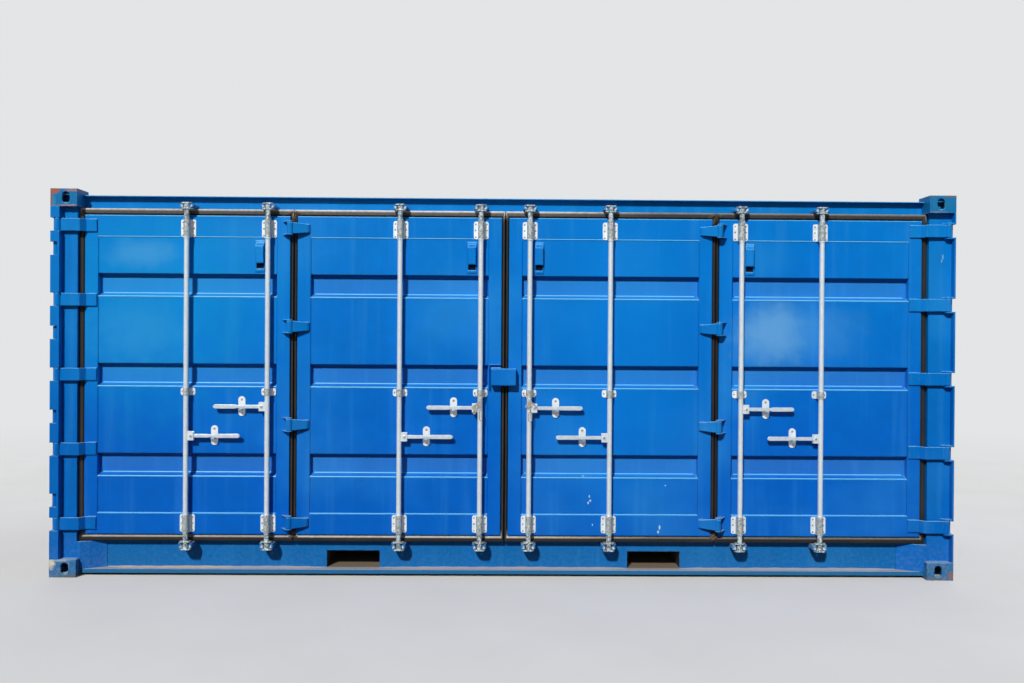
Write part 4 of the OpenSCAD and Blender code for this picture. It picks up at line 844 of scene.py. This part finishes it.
# The dealer hangs a seal chain of galvanised long-link chain round each of the two middle rods.
# Its wire is 5 to 6 mm, bent and butt welded, and it hangs slack from the middle guide, where
# two bent wires of 5 mm hold it.
def link(centre, along, flat, long, wide, thick=0.0025):
    """A chain link: wire along an oval whose ends are half circles, in the plane square to flat."""
    along = np.asarray(along, float) / np.linalg.norm(along)
    flat = np.asarray(flat, float) - np.dot(flat, along) * along
    flat /= np.linalg.norm(flat)
    aside = np.cross(flat, along)
    a = np.linspace(0, 2 * np.pi, 24, endpoint=False)[:, None]
    half = wide / 2 - thick
    straight = (long - wide) / 2
    oval = half * np.cos(a) * aside + (half * np.sin(a) + straight * np.sign(np.sin(a))) * along
    return tube(np.asarray(centre) + oval, thick, flat, sides=7, closed=True)


def strand(start, end, long=0.022, wide=0.013):
    """Links from start to end, each hooked into the last one and turned by a quarter."""
    start, end = np.asarray(start, float), np.asarray(end, float)
    run = np.linalg.norm(end - start)
    count = max(int(round(run / (long - 0.0084))), 1)
    places = start + (end - start) * ((np.arange(count) + 0.5) / count)[:, None]
    flats = [(0.7, -0.7, 0.0) if k % 2 else (-0.7, -0.7, 0.0) for k in range(count)]
    return [link(place, end - start, flat, long, wide) for place, flat in zip(places, flats)]


# The chain's zinc is darker and browner than the rods', partly stain and partly painted shade for
# the self-shadow among its links.
chain_zinc_stained_and_shaded = galvanised("electroplated_zinc_on_chain_stained_and_shaded", base="#aaa59c", bloom=0.2, stain=0.9,
                        rough=0.40, metallic=0.5)
front = -1.2155
for number, x, sign in ((4, -0.165, -1.0), (5, 0.165, 1.0)):
    ears = []
    for side_x in (-0.040, 0.040):
        t = np.linspace(0, 1, 14)[:, None]
        ear = np.array([x + side_x, -1.166, 1.236])
        knee = np.array([x + side_x * 0.55, -1.216, 1.222])
        tip = np.array([x, front, 1.197])
        sweep = (1 - t) ** 2 * ear + 2 * t * (1 - t) * knee + t ** 2 * tip
        ears.append(tube(sweep, 0.0026, (0.0, 0.0, 1.0), sides=7))
    made = new_object(f"seal_wire_on_guide_{number}", *joined(*ears), chain_zinc_stained_and_shaded)
    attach(made, "root")
    knot = (x + 0.004, front + 0.002, 1.192)
    parts = strand(knot, (x + 0.052 * sign, front + 0.002, 1.148))
    parts += strand(knot, (x + 0.006, front + 0.002, 1.128))
    parts += strand((x - 0.008, front + 0.002, 1.190), (x - 0.004, front + 0.002, 1.140))
    if number == 4:
        parts += strand((x - 0.050, front + 0.002, 1.150), (x - 0.030, front + 0.002, 1.118))
        parts += [link((x + 0.004, front, 1.0965), (0, 0, 1), (0, -1, 0), 0.075, 0.024, 0.0030),
                  link((x - 0.028, front, 1.140), (0.35, 0, 1), (0, -1, 0), 0.080, 0.022, 0.0030)]
    else:
        parts += strand((x + 0.018, front + 0.002, 1.156), (x - 0.022, front + 0.002, 1.156))
        parts += [link((x - 0.012, front, 1.158), (1, 0, 0.4), (0, -1, 0), 0.034, 0.020, 0.0030),
                  link((x + 0.0065, front, 1.0865), (0, 0, 1), (0, -1, 0), 0.070, 0.028, 0.0032)]
    made = new_object(f"seal_chain_on_rod_{number}", *joined(*parts), chain_zinc_stained_and_shaded)
    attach(made, f"rod_{number}")

# Wind has blown grit into the corner between the sill's ledge and its web, where rain has caked
# it. It is sand and dust, and lies loose in low banks between the gussets and the fork pockets.
ground_dirt, tree, place = new_finish("caked_grit_on_ledge")
pebbles = noise(tree, place, 8, 5.0, 0.75)
banks = noise(tree, place, 260, 3.0)
at_left = node(tree, "SeparateXYZ", {0: place}, out="X")
at_left = ramp(tree, at_left, -2.2, -1.6, 0.30, -0.10)
banks = calc(tree, "ADD", banks, at_left)
tint = mix(tree, ramp(tree, banks, 0.42, 0.66), "#adaab4", "#c8b6aa")
tint = mix(tree, ramp(tree, pebbles, 0.46, 0.70, 0, 0.5), tint, "#7d7268")
relief = node(tree, "Bump", {"Height": pebbles, "Distance": 0.003, "Strength": 0.8})
surface(tree, {"Base Color": tint, "Roughness": 0.95, "IOR": 1.45, "Normal": relief})


def bank(start, end):
    """A bank of grit along x from start to end, as a closed bar of five points round. Its toe
    lies about 50 mm from the web and its top 5 mm up, both swelling and sinking as sine waves."""
    x = np.linspace(start, end, int((end - start) / 0.012))
    swell = 1 + 0.15 * np.sin(3.1 * x + 1) + 0.12 * np.sin(11.3 * x) + 0.15 * np.sin(47.0 * x + 2)
    fade = np.clip(np.minimum(x - start, end - x) / 0.12, 0.05, 1) ** 0.5
    out = np.array([0.0, 0.0, 0.012, 0.030, 0.052]) * (0.75 + 0.25 * swell[:, None]) * fade[:, None]
    rise = np.array([-0.002, 0.0055, 0.0035, 0.0018, 0.0]) * swell[:, None] * fade[:, None]
    rise[:, 4] = -0.002
    web_y, ledge_z = -1.0995, 0.045
    rings = np.stack([np.broadcast_to(x[:, None], out.shape), web_y - out, ledge_z + rise], -1)
    ends = [list(range(5))[::-1], (np.arange(5) + (len(x) - 1) * 5).tolist()]
    return rings.reshape(-1, 3), quads(len(x), 5).tolist() + ends


banks_of_grit = joined(bank(-2.690, -1.212), bank(-0.838, 0.838), bank(1.212, 2.690))
made = new_object("caked_grit_banks", *banks_of_grit, ground_dirt)
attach(made, "root")
